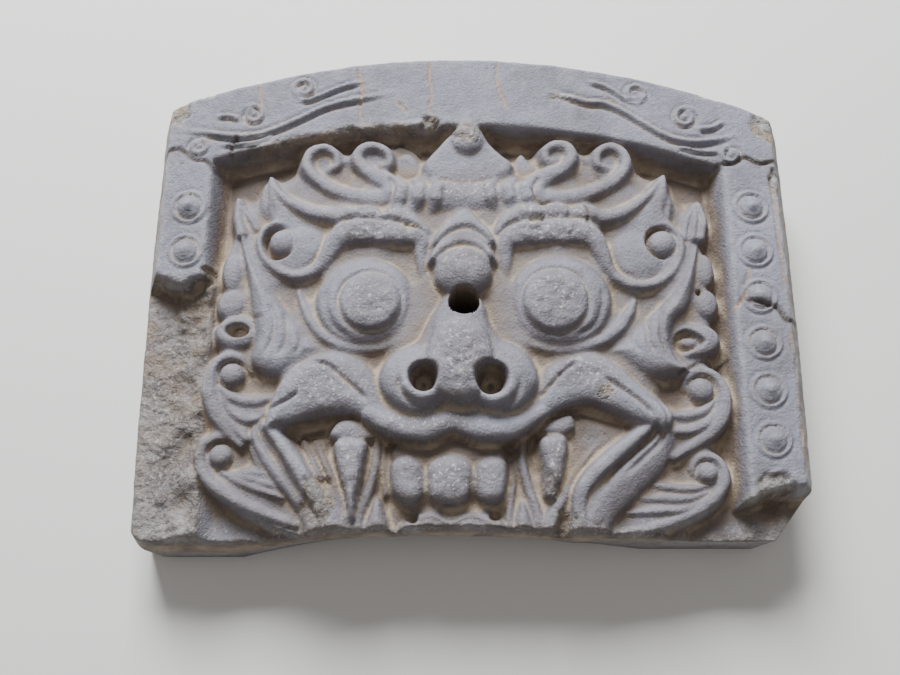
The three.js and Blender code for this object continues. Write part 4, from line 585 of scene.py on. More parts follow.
def ear_left():
    slab([[-108, 30], [-111, 20], [-114, 12], [-113, 5], [-110, 1], [-115, -4], [-115, -11], [-112, -15],
          [-116, -20], [-113, -28], [-104, -33], [-96, -34], [-92, -20], [-96, -4], [-101, 14]],
         10, 4, 3, 1)
    slab([[-108, 33], [-102, 18], [-96, 7], [-90, -1.5], [-83, -10.5], [-74, -21], [-64, -31.5],
          [-71, -38], [-78, -42.5], [-86, -45], [-93, -42.5], [-98, -36], [-97, -27], [-98.5, -15],
          [-101, 0], [-104.5, 16]], 20, 9, 11, 0.8)
    dome(-109, 7, 4.5, 9, 12.5, 3, 0.4)
    dome(-108.5, -9, 6, 6.5, 13.5, 3, 0.4)
    dome(-104.5, -22.5, 9.5, 7.5, 15, 3, 0.4)
    for k in (0, 1, 2):
        groove([[-90 + k * 6.5, -10 - k * 5], [-87 + k * 6, -19 - k * 3.5], [-87.5 + k * 6, -27 - k * 2],
                [-91.5 + k * 7, -36 + k * 0.6]], 1.5, 2)
        ridge([[-91 + k * 6.4, -14 - k * 4.6], [-88.8 + k * 6, -20 - k * 3.5],
               [-89.2 + k * 6, -27 - k * 2], [-92.5 + k * 7, -33.5 - k * 0.4]], [0.6, 1, 1, 0.7],
              [17, 18.5, 18, 14], 0.3, 0.6)


def ear_right():
    slab([[105, 22], [110, 14], [113, 7], [111, 1], [108, -2], [113, -8], [112, -14], [109, -18],
          [112, -23], [110, -31], [102, -35], [92, -35], [90, -22], [96, -6], [101, 10]], 10, 4, 3, 1)
    slab([[105, 21], [103.5, 6], [101, -5], [98, -13], [92, -20], [90, -28], [93, -36], [98, -40],
          [90, -44], [81, -45], [73, -42], [66, -37], [59, -32], [68, -26], [77, -18], [85, -10], [93, 0],
          [99, 11]], 20, 9, 11, 0.8)
    dome(108, 8, 4.2, 8, 12.5, 3, 0.4)
    dome(107.5, -8.5, 5, 6.5, 13.5, 3, 0.4)
    dome(101, -26, 10.5, 7.5, 15, 3, 0.4)
    for k in (0, 1, 2):
        groove([[86 - k * 6.5, -12 - k * 5], [84.5 - k * 6, -20 - k * 3.2], [84.5 - k * 6, -27 - k * 1.6],
                [88 - k * 6.6, -35 + k * 0.6]], 1.5, 2)
        ridge([[87 - k * 6.4, -16 - k * 4.6], [86 - k * 6, -21 - k * 3.2], [86.2 - k * 6, -27 - k * 1.6],
               [89 - k * 6.6, -33]], [0.6, 1, 1, 0.7], [17, 18.5, 18, 14], 0.3, 0.6)


def beard_left():
    slab([[-97, -35], [-104, -33], [-112, -34], [-117, -40], [-117.5, -50], [-115, -60], [-109, -68],
          [-101, -76], [-93, -80], [-86, -66], [-84, -54], [-92, -49], [-98, -46]], 9, 4, 3, 1)
    ridge([[-98, -40], [-101.5, -35], [-107, -33.5], [-112.5, -36], [-115.2, -42], [-115.3, -50],
           [-112.5, -58], [-107, -66], [-100, -73]], [1.4, 1.8, 2, 2.2, 2.6, 3, 3.2, 2.8, 2],
          [10, 12, 13.5, 14, 14, 14, 13.5, 13, 13], 0.8, 1.6)
    ridge([[-111, -48], [-105, -52.5], [-97, -54.5], [-86, -53]], [1.4, 2.2, 2.2, 1.6],
          [12, 14, 14.5, 15], 0.6, 1.6)
    ridge([[-109.5, -53], [-104.5, -59], [-98.5, -62.5], [-92, -63]], [1.2, 2, 2, 1.4],
          [12, 14, 14.5, 15], 0.6, 1.6)
    ridge([[-109, -59], [-103, -66], [-97, -71]], [1.2, 2, 1.8], [12, 13.5, 15], 0.6, 1.6)
    slab([[-98, -74], [-104, -70], [-111, -68.5], [-117.5, -71], [-120, -78], [-118, -87], [-112, -94],
          [-100, -102], [-86, -109], [-72, -113], [-76, -98], [-88, -86]], 8, 4, 3, 1)
    ridge([[-99.5, -76], [-104, -71.3], [-110.5, -69.5], [-116, -72.5], [-118, -79], [-115.5, -86],
           [-109, -92.5], [-99, -98.5], [-87, -103.5], [-75, -108]],
          [1.2, 1.6, 2, 2.2, 2.4, 2.4, 2.4, 2.2, 2, 1.2], [9, 10.5, 11.5, 12, 12, 12, 12, 12, 12, 11],
          0.8, 1.6)
    for k in (0, 1, 2):
        ridge([[-108 + k * 2.4, -85 - k * 0.6], [-100 + k * 1.5, -89.5 + k * 2.2],
               [-92 + k * 2.2, -92.6 + k * 2.8], [-81 + k * 1.5, -96.4 + k * 3.6]], [1, 1.6, 1.6, 0.9],
              [10, 12, 12.5, 13], 0.5, 1.3)
    ridge([[-108, -95.5], [-97, -101.6], [-85, -107], [-74, -111]], [1, 1.4, 1.4, 0.9],
          [8.5, 9.5, 9.5, 9], 0.5, 1)


def beard_right():
    slab([[95, -44], [100, -39], [107, -40], [112, -45], [114, -54], [112, -63], [106, -70], [98, -76],
          [90, -81], [86, -70], [86, -58], [93, -54]], 9, 4, 3, 1)
    ridge([[95, -48.5], [96, -43.5], [101, -40.5], [107, -42], [110.8, -47], [111.8, -54], [109.5, -62],
           [103.5, -68.5], [95.5, -74], [88, -79]], [1.2, 1.7, 2, 2.2, 2.5, 3, 3.2, 3, 2.4, 1.6],
          [10, 12, 13.5, 14, 14, 14, 13.5, 13, 13, 13], 0.8, 1.6)
    ridge([[108, -53.5], [101, -59], [94, -61], [87, -61]], [1.2, 2, 2, 1.4], [12, 14, 14.5, 15], 0.6, 1.6)
    ridge([[108, -59], [102, -64.5], [95, -67.5], [89, -68]], [1.2, 2, 2, 1.4], [12, 14, 14.5, 15],
          0.6, 1.6)
    slab([[97, -79], [102, -77], [108, -79], [111.5, -85], [110, -93], [103, -101], [92, -107],
          [78, -112], [62, -113.5], [66, -100], [78, -90], [92, -84]], 7, 4, 3, 1)
    ridge([[97.5, -88], [96, -83.5], [98.5, -79.5], [103.5, -78.3], [108, -81.5], [109.6, -88],
           [106, -95], [98, -101], [87, -106], [74, -109.5], [61, -111]],
          [1.2, 1.5, 1.7, 1.9, 2.1, 2.4, 2.4, 2.2, 2, 1.6, 1],
          [9, 10.5, 11.5, 12, 12, 12, 12, 11.5, 11, 10.5, 10], 0.8, 1.6)
    for k in (0, 1, 2):
        ridge([[102 - k * 0.5, -91 - k * 3], [94 - k, -92.5 - k * 4.2], [84 - k * 2, -91.5 - k * 5.2],
               [76 - k * 5, -90.5 - k * 6]], [1, 1.6, 1.5, 0.8], [10, 11.5, 11.5, 10], 0.5, 1.3)


def holes():
    pit(-20.5, -47.5, 6.9, 7, 14)
    pit(8.5, -48, 7.7, 7.7, 13)
    pit(-25, -105.5, 3.2, 2.6, 6)
    pit(10, -104.5, 3, 2.4, 6)
    cord_line([[-28.5, -50], [-26, -54.5], [-20.5, -56.8], [-15, -54.5]], 1.8, 1.5)
    cord_line([[2.5, -55], [8.5, -58.2], [14.5, -56], [17.5, -51]], 1.8, 1.5)
    groove([[-31, -46], [-30.5, -53], [-25.5, -58.5], [-18.5, -59.8], [-12.5, -56]], 1.7, 1.6)
    groove([[0, -56], [6.5, -61], [14, -60.5], [19.5, -55.5], [21, -47]], 1.7, 1.6)
    groove([[-71, -38.5], [-63, -40], [-57, -45], [-50.5, -50.5], [-44, -57]], 1.5, 2.4)
    groove([[29, -56], [34, -50], [40, -43.5], [47, -38]], 1.3, 2)
    groove([[58, -46], [64, -50], [72, -56], [79, -63]], 1.4, 2.4)
    groove([[-89, -60], [-80, -56], [-74, -52]], 1.4, 2.2)
    groove([[74, -52.5], [82, -57], [84.5, -64], [82, -72], [74, -80], [64, -89]], 1.5, 2)
    groove([[80, -64], [79, -70], [70, -78], [60, -87], [54, -95]], 1.5, 2)
    groove([[-88, -61], [-93, -64], [-92, -70], [-86, -79], [-78, -90], [-70, -102]], 1.5, 2)
    groove([[-94, -62], [-96.5, -69], [-92, -80], [-84, -91], [-76, -101]], 1.3, 1.6)


def curl_bosses():
    pit(-87.5, 19.5, 8, 8.5, 9)
    dome(-85.6, 20, 6.8, 6.8, 18.5, 6, 3)
    pit(87.5, 20, 7.6, 8.5, 9)
    dome(88.7, 19.6, 6.6, 6.8, 18.5, 6, 3)
    pit(-104.5, -22, 6, 3.6, 8)
    dome(-103.5, -21.5, 3, 1.5, 11, 2, 0.5)
    hollow([[91.5, -24], [96, -21], [101, -23], [105, -27], [101, -31], [94, -32.5], [90.5, -29]], 9)
    dome(98.5, -27, 5.5, 2.6, 12, 2.5, 0.6)
    pit(104.5, -3, 1.6, 2, 6)
    pit(-106.5, -41.5, 6.5, 6.5, 10.5)
    dome(-106, -42.2, 5.4, 5.4, 15.5, 4.5, 1)
    pit(-109.5, -77.5, 6, 6, 8.5)
    dome(-109, -78, 5, 5, 13.5, 4, 1)
    pit(102.5, -48.5, 6.5, 6.5, 10.5)
    dome(102, -49, 5.5, 5.5, 15.5, 4.5, 1)
    pit(102.5, -85, 5.4, 5.4, 8.5)
    dome(102.2, -85.4, 4.6, 4.6, 13.5, 4, 1)


def carve_face():
    face_ground()
    crest()
    horn_left()
    horn_right()
    tufts()
    brow_left()
    brow_right()
    forehead()
    lids()
    eye(-44.5, -10.5, 12.8, 1)
    eye(37.5, -10, 13.8, -1)
    ear_left()
    ear_right()
    beard_left()
    beard_right()
    nose()
    cheeks()
    lips()
    ease_creases(3.5, 1.8, 120)
    ease_creases(7, 3.6, 120)
    ease_creases(13, 7, 120)
    mouth()
    ease_creases(4.5, 2, 120)
    gums()
    mouth_folds()
    teeth()
    curl_bosses()
    ease_creases(3.5, 2.4, -75)
    holes()


# The frame, its breaks and its studs.

def lattice_noise(x, y, cell, seed):
    """Smooth noise between -1 and 1 on a lattice of the given cell."""
    lattice = np.random.default_rng(seed).uniform(-1, 1, (420, 420))
    u, v = x / cell + 210, y / cell + 210
    i, j = np.floor(u).astype(int) % 419, np.floor(v).astype(int) % 419
    s, t = u - np.floor(u), v - np.floor(v)
    s, t = s * s * (3 - 2 * s), t * t * (3 - 2 * t)
    low = lattice[j, i] * (1 - s) + lattice[j, i + 1] * s
    high = lattice[j + 1, i] * (1 - s) + lattice[j + 1, i + 1] * s
    return low * (1 - t) + high * t


def rubble(x, y, coarse, seed):
    """Noise of a broken surface: lumps with ever smaller ones on them."""
    total = np.zeros(x.shape)
    for octave in range(4):
        total += lattice_noise(x, y, coarse / 2**octave, seed + octave) / 1.7**octave
    return total


def frame_inside_distance(x, y):
    ragged = 2 * np.sin(x / 4) + 1.2 * lattice_noise(x, y, 5, 31)
    band = y - (arch_at(x) - BAND_DEPTH)
    left = np.minimum(FIELD_LEFT - x, y - LEFT_STRIP_END - ragged)
    right = np.minimum(x - FIELD_RIGHT, y - RIGHT_STRIP_END - 0.2 * (x - FIELD_RIGHT) - 0.5 * ragged)
    return np.maximum(band, np.maximum(left, right))


def broken_side(x, y):
    """Height of the rough surface where the left strip was lost."""
    lost = np.minimum(FIELD_LEFT + 2 - x, LEFT_STRIP_END + 6 - y)
    slope = np.sin(x * 0.31 + 2 * np.sin(y * 0.13)) + np.sin(y * 0.23 - x * 0.17) * 0.9
    body = FRACTURE_HEIGHT + FRACTURE_SLOPE * (x - FIELD_LEFT) + slope
    return body + np.minimum(0, lost * WALL_STEEPNESS * 0.6), lost


flat_fracture = np.zeros(flat_height.shape)
flat_grit = np.zeros(flat_height.shape)


def build_frame():
    broken, lost = broken_side(flat_x, flat_y)
    upper = np.clip((flat_y + 40) / 30, 0, 1)
    rough = np.clip(lost / 3 + 1, 0, 1) * rubble(flat_x, flat_y, 8, 51) * (1 + 0.6 * upper)
    flat_height[:] = smooth_max(flat_height, broken + rough, 2)
    inward = frame_inside_distance(flat_x, flat_y)
    edge_wear = 2 + 0.8 * lattice_noise(flat_x, flat_y, 9, 11)
    edge = np.maximum(0, 1 - np.maximum(0, inward) / edge_wear)
    top = FRAME_HEIGHT - 0.9 * edge * edge + np.minimum(0, inward * WALL_STEEPNESS)
    left_part = np.clip((20 - flat_x) / 40, 0, 1) * np.clip((flat_x + 112) / 8, 0, 1)
    under_band = np.clip(1 - np.abs(flat_y - arch_at(flat_x) + BAND_DEPTH + 1) / 4, 0, 1) * left_part
    top += under_band * (rubble(flat_x, flat_y, 6, 55) * 1.5 - 0.8)
    flat_height[:] = smooth_max(flat_height, top, 0.4)
    flat_fracture[:] = np.maximum(flat_fracture, under_band * 0.9)


def edge_limit(x, y):
    side = side_at((y + HALF_HEIGHT) / TILE_HEIGHT)
    corner_ease = np.where(x > HALF_WIDTH - LOST_CORNER_WIDTH, 0.64, 1)
    nibble = 0.7 * rubble(x, y, 8, 71)
    worn_to = LEFT_FOOT_WEAR_WIDTH - HALF_WIDTH
    foot_wear = LEFT_FOOT_WEAR * np.clip((worn_to - x) / (LEFT_FOOT_WEAR_WIDTH / 3), 0, 1)
    from_foot = np.maximum(0, (y - foot_at(x)) * corner_ease)
    return np.minimum.reduce([
        LEFT_EDGE_HEIGHT + 2.4 * np.maximum(0, x + side) + nibble,
        RIGHT_EDGE_HEIGHT + 1.9 * np.maximum(0, side - x) + nibble,
        TOP_EDGE_HEIGHT + 2.6 * np.maximum(0, top_at(x) - y) + nibble,
        FOOT_EDGE_HEIGHT - foot_wear + WALL_STEEPNESS * from_foot + nibble,
    ])


def stud(x, y, worn):
    distance = np.hypot(flat_x - x, flat_y - y)
    near = np.flatnonzero(distance < STUD_RING_DIAMETER)
    d = distance[near]
    ring_there = 1.3 * np.exp(-((d - STUD_RING_DIAMETER / 2 + 0.9) / 0.8) ** 2)
    outside = -0.5 * np.exp(-((d - STUD_RING_DIAMETER / 2 - 0.7) / 0.8) ** 2)
    moat = -0.9 * np.exp(-((d - STUD_DIAMETER / 2 - 0.3) / 0.6) ** 2)
    q = np.minimum(1, d / (STUD_DIAMETER / 2))
    lumps = 0.4 * rubble(flat_x[near], flat_y[near], 2.6, 61) * (1 - q)
    top = STUD_RISE * (0.55 * np.sqrt(1 - q * q) + 0.45 * np.maximum(0, 1 - 1.6 * q)) + lumps
    flat_height[near] += np.where(q < 1, top, 0) * (1 - worn)
    flat_height[near] += (ring_there + moat + outside) * (1 - worn * 0.7)


def stud_rows():
    first = HALF_HEIGHT - FIRST_STUD_FROM_CROWN
    for row in range(2):
        stud(LEFT_STUD_X, first - row * STUD_PITCH, 0.1 * row)
    for row in range(6):
        stud(RIGHT_STUD_X, first - row * STUD_PITCH, 0.06 * row)
    stud(RIGHT_STUD_X + 2, first - 6 * STUD_PITCH + 1.5, 0.8)


def scroll(points, wide=1.0):
    """One line of the band's ornament: a thin welt between two pressed lines, the lower one deeper."""
    line = [(x, arch_at(x) - down) for x, down in points]
    groove([(x, y + 1.9 * wide) for x, y in line], 1.8 * wide, 0.9 * wide)
    groove([(x, y - 2 * wide) for x, y in line], 2 * wide, 1.7 * wide**2)
    cord_line(line, 1.7 * wide, 1.7)


def band_curl(x, down, radius, start, turns):
    """A small curl of the band: a welt that winds in round a button."""
    line = []
    for step in range(17):
        angle = math.radians(start + 360 * turns * step / 16)
        reach = radius * (1 - 0.5 * step / 16)
        line.append((x + reach * math.cos(angle), arch_at(x) - down + reach * math.sin(angle)))
    near = points_near(np.array([[x, arch_at(x) - down]]), radius + 3)
    distance = np.hypot(flat_x[near] - x, flat_y[near] - arch_at(x) + down)
    flat_height[near] -= 1.6 * np.clip((radius + 1.6 - distance) / 1.6, 0, 1)
    flat_height[near] += 2.6 * np.clip(1 - (distance / 2.3) ** 2, 0, 1)
    cord_line(line, 1.4, 2.7)


def band_ornament():
    scroll([[-136, 16], [-122, 23], [-110, 28], [-99, 30], [-89, 28.5], [-79, 25.5], [-69, 22], [-55, 20],
            [-38, 19]])
    scroll([[-118, 30.5], [-106, 33], [-92, 32]], 0.7)
    scroll([[-82, 16], [-76, 16.5], [-69, 14.5], [-60, 12], [-51, 10.5]], 0.85)
    scroll([[-110, 19], [-114, 16], [-120, 14.5]], 0.8)
    band_curl(-79.5, 9.5, 5.4, -60, -1.4)
    band_curl(-103, 18, 5.2, 200, -1.4)
    band_curl(-128, 27.5, 4.6, 120, -1.2)
    scroll([[38, 17], [48, 18], [56, 19.5], [65, 18.5], [75, 21.5], [84, 25.5], [94, 29], [104, 28.5],
            [116, 24], [126, 18]])
    scroll([[98, 32.5], [108, 32.5], [118, 29.5]], 0.7)
    scroll([[57, 8], [66, 9], [74, 13], [81, 15.5]], 0.85)
    scroll([[109, 20.5], [116, 17.5], [121, 12.5]], 0.85)
    band_curl(80, 9.5, 5.2, 240, 1.4)
    band_curl(103, 16, 5.4, -20, 1.4)
    band_curl(123.5, 29, 4.6, 60, 1.2)


# Lines where the tile was broken and mended, and finer cracks: points along each, and its width.
CRACKS = [
    ([[-101, 107], [-100.5, 99], [-99.5, 90]], 0.5, 1),
    ([[-52.5, 116], [-53, 108], [-51, 99], [-52.5, 90], [-50.5, 81]], 0.6, 1),
    ([[-18.5, 117], [-19.5, 108], [-18, 97], [-19, 90], [-17, 84]], 0.5, 1),
    ([[14, 116], [13.5, 106], [15.5, 96], [18, 88]], 0.45, 1),
    ([[-110, 74], [-111.5, 69], [-112.5, 65]], 0.7, 0),
    ([[-144, 66], [-137, 67], [-130, 62], [-124, 61], [-120, 57]], 0.9, 0),
    ([[117, 60], [124, 60], [130, 63], [136, 60], [146, 62]], 0.9, 0),
    ([[119, -12.5], [123, -7], [125, -1], [127, 6]], 0.6, 1),
    ([[124.5, -8], [131, -10], [138, -12], [142, -18], [149, -17]], 0.9, 0),
    ([[-53, 71], [-46, 74], [-40, 75], [-36, 73], [-33, 75], [-28, 73]], 0.5, 0),
    ([[92, -42], [98, -38.5], [104, -36], [110, -38], [116, -34]], 0.5, 0),
    ([[52, 37], [54, 32], [53, 27]], 0.4, 0),
    ([[-100, -13], [-97, -16], [-93, -17]], 0.35, 0),
    ([[30, 41], [33, 38], [38, 39]], 0.4, 0),
    ([[140.5, 58], [141.5, 40], [142, 20], [142.5, 0]], 0.4, 1),
    ([[143, -24], [143.5, -50], [143, -80]], 0.4, 1),
    ([[-35, 93], [-32, 90], [-30, 87]], 0.4, 1),
    ([[66, 96], [69, 93], [72, 92]], 0.4, 1),
]


def press_cracks():
    for points, width, _ in CRACKS:
        wander = [[x + 0.5 * math.sin(3.1 * n + x), y + 0.5 * math.cos(2.3 * n + y)]
                  for n, (x, y) in enumerate(points)]
        groove(wander, width + 0.3, 0.9 + width)


def chip(cx, cy, rx, ry, depth, seed):
    """A flake lost from the surface, with a rough bed."""
    near = points_near(np.array([[cx, cy]]), max(rx, ry) * 1.5)
    x, y = flat_x[near], flat_y[near]
    ragged = 1 + 0.35 * lattice_noise(x, y, 2.5, seed)
    q = np.hypot((x - cx) / rx, (y - cy) / ry) / ragged
    bed = depth * np.clip((1 - q) * 4, 0, 1) * (1 + 0.3 * rubble(x, y, 3, seed + 5))
    flat_height[near] -= bed
    flat_fracture[near] = np.maximum(flat_fracture[near], np.clip((1 - q) * 4, 0, 1))


def chips():
    chip(-19, 82, 4, 3.4, 3.4, 101)
    chip(-57, 77, 5, 2.4, 1.6, 102)
    chip(-72, 72, 6, 1.8, 1.2, 103)
    chip(-1, 74, 6.5, 5.5, 0.6, 104)
    chip(-139, 88, 7, 8, 2.4, 105)
    chip(-128, 97, 6, 3, 1.4, 119)
    chip(-104, 107, 8, 2, 1.2, 120)
    chip(-62, 114.5, 9, 1.8, 1.2, 121)
    chip(142, 80, 7, 9, 2.0, 106)
    chip(119, 96, 8, 3, 1.5, 107)
    chip(-120, 5, 3, 4, 2.5, 108)
    chip(148, -19, 4, 3, 3, 109)
    chip(143, 50, 3, 7, 2, 110)
    chip(45, 95.5, 6, 1.6, 0.9, 111)
    chip(34, -92, 3, 5, 2.0, 112)
    chip(58, -52, 4, 3, 0.8, 113)
    chip(-66, -98, 7, 12, 2.0, 114)
    chip(130, -92, 8, 6, 2.0, 115)
    chip(40, -108, 5, 6, 1.6, 116)
    chip(30, 28, 3.5, 2.5, 1.2, 117)
    chip(-28, 24, 4, 2.5, 1.2, 118)


def rough_patch(cx, cy, rx, ry, depth, seed, coarse=3.4):
    """Surface eaten by weather: small lumps and pits that fade out round it."""
    near = points_near(np.array([[cx, cy]]), max(rx, ry) * 1.3)
    x, y = flat_x[near], flat_y[near]
    fade = np.clip(1.3 - np.hypot((x - cx) / rx, (y - cy) / ry), 0, 1)
    flat_height[near] += depth * fade * rubble(x, y, coarse, seed)
    flat_grit[near] = np.maximum(flat_grit[near], fade)


def weathering():
    rough_patch(-46, 32, 20, 5, 0.8, 201, 4)
    rough_patch(-43, 23, 20, 6, 1.1, 202, 5)
    rough_patch(38, 33, 22, 5, 0.7, 203, 4)
    rough_patch(36, 23, 22, 7, 1.0, 204, 5)
    rough_patch(-1, 73, 6, 5.5, 1.6, 218, 3.6)
    rough_patch(-4, 6, 13, 9, 0.6, 205)
    rough_patch(-44.5, -12, 11, 11, 0.6, 206)
    rough_patch(37.5, -11.5, 12, 12, 0.7, 207)
    rough_patch(-62, -50, 20, 12, 0.5, 208)
    rough_patch(52, -44, 18, 8, 0.5, 209)
    rough_patch(-9, -88, 28, 10, 0.5, 210)
    rough_patch(-4, -40, 13, 20, 0.55, 211)
    rough_patch(-20, -66, 26, 5, 0.4, 217)
    rough_patch(-52, -84, 7, 18, 0.5, 212)
    rough_patch(36, -82, 5, 14, 0.6, 213)
    rough_patch(-2, 46, 26, 8, 0.4, 214)
    rough_patch(-135, -60, 18, 60, 0.6, 215)
    rough_patch(0, -112, 140, 8, 0.5, 216)
    broad = 0.3 * rubble(flat_x, flat_y, 22, 220)
    fine = 0.05 * rubble(flat_x, flat_y, 3, 230)
    flat_height[:] += broad + fine


carve_face()
build_frame()
stud_rows()
band_ornament()
press_cracks()
chips()
weathering()
flat_height[:] = -smooth_max(-flat_height, -edge_limit(flat_x, flat_y), 1.5)


# Masks for the clay: hollows that hold deposit and painted shade, crowns that are worn pale, breaks and
# mended lines, and where shade is painted, with some stain.

def blurred(values, cells):
    """The sheet's values averaged over a window, twice each way."""
    result = values
    for axis in (0, 1):
        for _ in range(2):
            padded = np.concatenate([np.repeat(result.take([0], axis), cells, axis), result,
                                     np.repeat(result.take([-1], axis), cells, axis)], axis)
            total = np.cumsum(padded, axis)
            zero = np.zeros_like(total.take([0], axis))
            total = np.concatenate([zero, total], axis)
            size = 2 * cells + 1
            length = result.shape[axis]
            result = (total.take(range(size, size + length), axis) - total.take(range(length), axis)) / size
    return result


relief = flat_height.reshape(sheet_x.shape)
level = np.maximum(relief, SLAB_THICKNESS - 6)
near_hollow = blurred(level, 2) - level
wide_hollow = blurred(level, 9) - level
recess_mask = np.clip((wide_hollow - 0.9) / 4.6, 0, 1)
seam_mask = np.clip(near_hollow / 0.7 - 0.6, 0, 1)
crown_mask = np.clip(-near_hollow / 1.2, 0, 1) * 0.6 + np.clip(-wide_hollow / 7, 0, 1) * 0.4
_, lost_strip = broken_side(sheet_x, sheet_y)
on_frame = np.clip(frame_inside_distance(sheet_x, sheet_y) + 1, 0, 1)
break_mask = np.clip(lost_strip / 2 + 1, 0, 1) * (1 - on_frame)
break_mask = np.maximum(break_mask, np.clip((edge_limit(sheet_x, sheet_y) - relief) * -1 + 0.6, 0, 1) * 0.8)
foot_distance = sheet_y - foot_at(sheet_x)
break_mask = np.maximum(break_mask, np.clip(1 - foot_distance / 5, 0, 1))
break_mask = np.maximum(break_mask, flat_fracture.reshape(sheet_x.shape))
under_strip = np.clip((RIGHT_STRIP_END - sheet_y) / 3 + 0.5, 0, 1)
beside_field = np.clip((sheet_x - FIELD_RIGHT) / 3 + 1, 0, 1)
break_mask = np.maximum(break_mask, under_strip * beside_field)
mend_mask = np.zeros(flat_x.shape)
crack_mask = np.zeros(flat_x.shape)
for points, width, mended in CRACKS:
    line = curve_through(points)
    near = points_near(line, 2.5)
    distance, _ = nearest(line, flat_x[near], flat_y[near])
    mark = np.clip(1.5 - distance / (width + 0.35), 0, 1)
    target = mend_mask if mended else crack_mask
    target[near] = np.maximum(target[near], mark)
# Darker brown towards the middle of the face.
centre_mask = np.exp(-(((sheet_x + 8) / 42) ** 2 + ((sheet_y + 8) / 34) ** 2))
# Painted shade with some stain in the low parts of the mouth, under the lip.
mouth_mask = np.exp(-(((sheet_x + 10) / 60) ** 2 + ((sheet_y + 86) / 24) ** 2))
mouth_mask = np.clip(1.8 * mouth_mask, 0, 1) * np.clip((SLAB_THICKNESS + 20 - relief) / 8, 0, 1)
# Painted shade with some dirt on the low places of the face, off the frame.
face_mask = np.clip((SLAB_THICKNESS + 24 - relief) / 14, 0, 1) * (1 - on_frame)
# Painted shade on slopes that face the foot, turned away from the lamp above the crown; half as much on the
# frame.
underside_shade = blurred(np.clip(np.gradient(relief, axis=0) - 0.15, 0, 1), 1) * (1 - 0.5 * on_frame)
# Together these give the painted shade with some stain, kept in the piece's points.
stain_and_shade_mask = np.clip(0.45 * centre_mask + mouth_mask + 0.6 * face_mask + 0.9 * underside_shade, 0, 1)


# The fine sheet, its outer wall, the nail hole and the flat back, as one closed mesh.

def clay_mesh():
    bm = bmesh.new()
    bmesh.ops.create_grid(bm, x_segments=CELLS_ACROSS, y_segments=CELLS_UP, size=0.5)
    layers = {name: bm.verts.layers.float.new(name)
              for name in ("recess", "seam", "crown", "fracture", "grit", "mend", "crack", "stain_and_shade")}
    masks = {"recess": recess_mask, "crown": crown_mask, "fracture": break_mask,
             "mend": mend_mask.reshape(sheet_x.shape), "crack": crack_mask.reshape(sheet_x.shape),
             "stain_and_shade": stain_and_shade_mask, "seam": seam_mask, "grit": flat_grit.reshape(sheet_x.shape)}
    for vert in bm.verts:
        column = round((vert.co.x + 0.5) * CELLS_ACROSS)
        row = round((vert.co.y + 0.5) * CELLS_UP)
        vert.co = (sheet_x[row, column] * MM, sheet_y[row, column] * MM, relief[row, column] * MM)
        for name, layer in layers.items():
            vert[layer] = float(masks[name][row, column])
    open_nail_hole(bm, layers)
    lower_rim(bm, layers)
    return bm


def open_nail_hole(bm, layers):
    """Clears the sheet over the nail hole and pulls the points round it onto the hole's edge."""
    cell = TILE_WIDTH / CELLS_ACROSS
    inside = []
    for vert in bm.verts:
        dx, dy = vert.co.x / MM - NAIL_HOLE_X, vert.co.y / MM - NAIL_HOLE_Y
        distance = math.hypot(dx, dy)
        if distance < NAIL_HOLE_RADIUS - 0.5 * cell:
            inside.append(vert)
        elif distance < NAIL_HOLE_RADIUS + 0.5 * cell:
            pull = NAIL_HOLE_RADIUS / distance
            vert.co.x = (NAIL_HOLE_X + dx * pull) * MM
            vert.co.y = (NAIL_HOLE_Y + dy * pull) * MM
    bmesh.ops.delete(bm, geom=inside, context="VERTS")


def lower_rim(bm, layers):
    """Runs every open edge of the sheet down to the flat back, and closes the back."""
    rim = [edge for edge in bm.edges if edge.is_boundary]
    for ring in range(1, WALL_RINGS + 1):
        new = bmesh.ops.extrude_edge_only(bm, edges=rim)["geom"]
        rim = [item for item in new if isinstance(item, bmesh.types.BMEdge)]
        fresh = [item for item in new if isinstance(item, bmesh.types.BMVert)]
        foot = {vert for vert in fresh if vert.co.y / MM < -HALF_HEIGHT + FOOT_HOLLOW + FOOT_UNDERCUT + 1
                and foot_hollow_at(vert.co.x / MM) > 0}
        for vert in fresh:
            x, y = vert.co.x / MM, vert.co.y / MM
            in_hole = math.hypot(x - NAIL_HOLE_X, y - NAIL_HOLE_Y) < NAIL_HOLE_RADIUS + 2
            vert.co.z *= (WALL_RINGS - ring) / (WALL_RINGS - ring + 1)
            if vert in foot:
                vert.co.y += FOOT_UNDERCUT * float(foot_hollow_at(x)) * MM / WALL_RINGS
            vert[layers["fracture"]] = 0.4
            # The nail hole's wall is painted dark with the hollows' earth and full painted shade with some
            # stain; the outer wall gets a little of both.
            vert[layers["recess"]] = 0.7 if in_hole else 0.08
            vert[layers["seam"]] = 0
            vert[layers["grit"]] = 0.3
            vert[layers["crown"]] = 0
            vert[layers["mend"]] = 0
            vert[layers["crack"]] = 0
            vert[layers["stain_and_shade"]] = 1 if in_hole else 0.1
    bmesh.ops.triangle_fill(bm, use_beauty=True, use_dissolve=False, edges=rim)
    bmesh.ops.recalc_face_normals(bm, faces=bm.faces)


def add_tile():
    bm = clay_mesh()
    mesh = bpy.data.meshes.new("demon_face_clay")
    bm.to_mesh(mesh)
    bm.free()
    mesh.shade_smooth()
    piece = bpy.data.objects.new("demon_face_clay", mesh)
    bpy.context.scene.collection.objects.link(piece)
    return piece


# The look of the clay, from a few shared node groups that give masks, colours and bump heights.

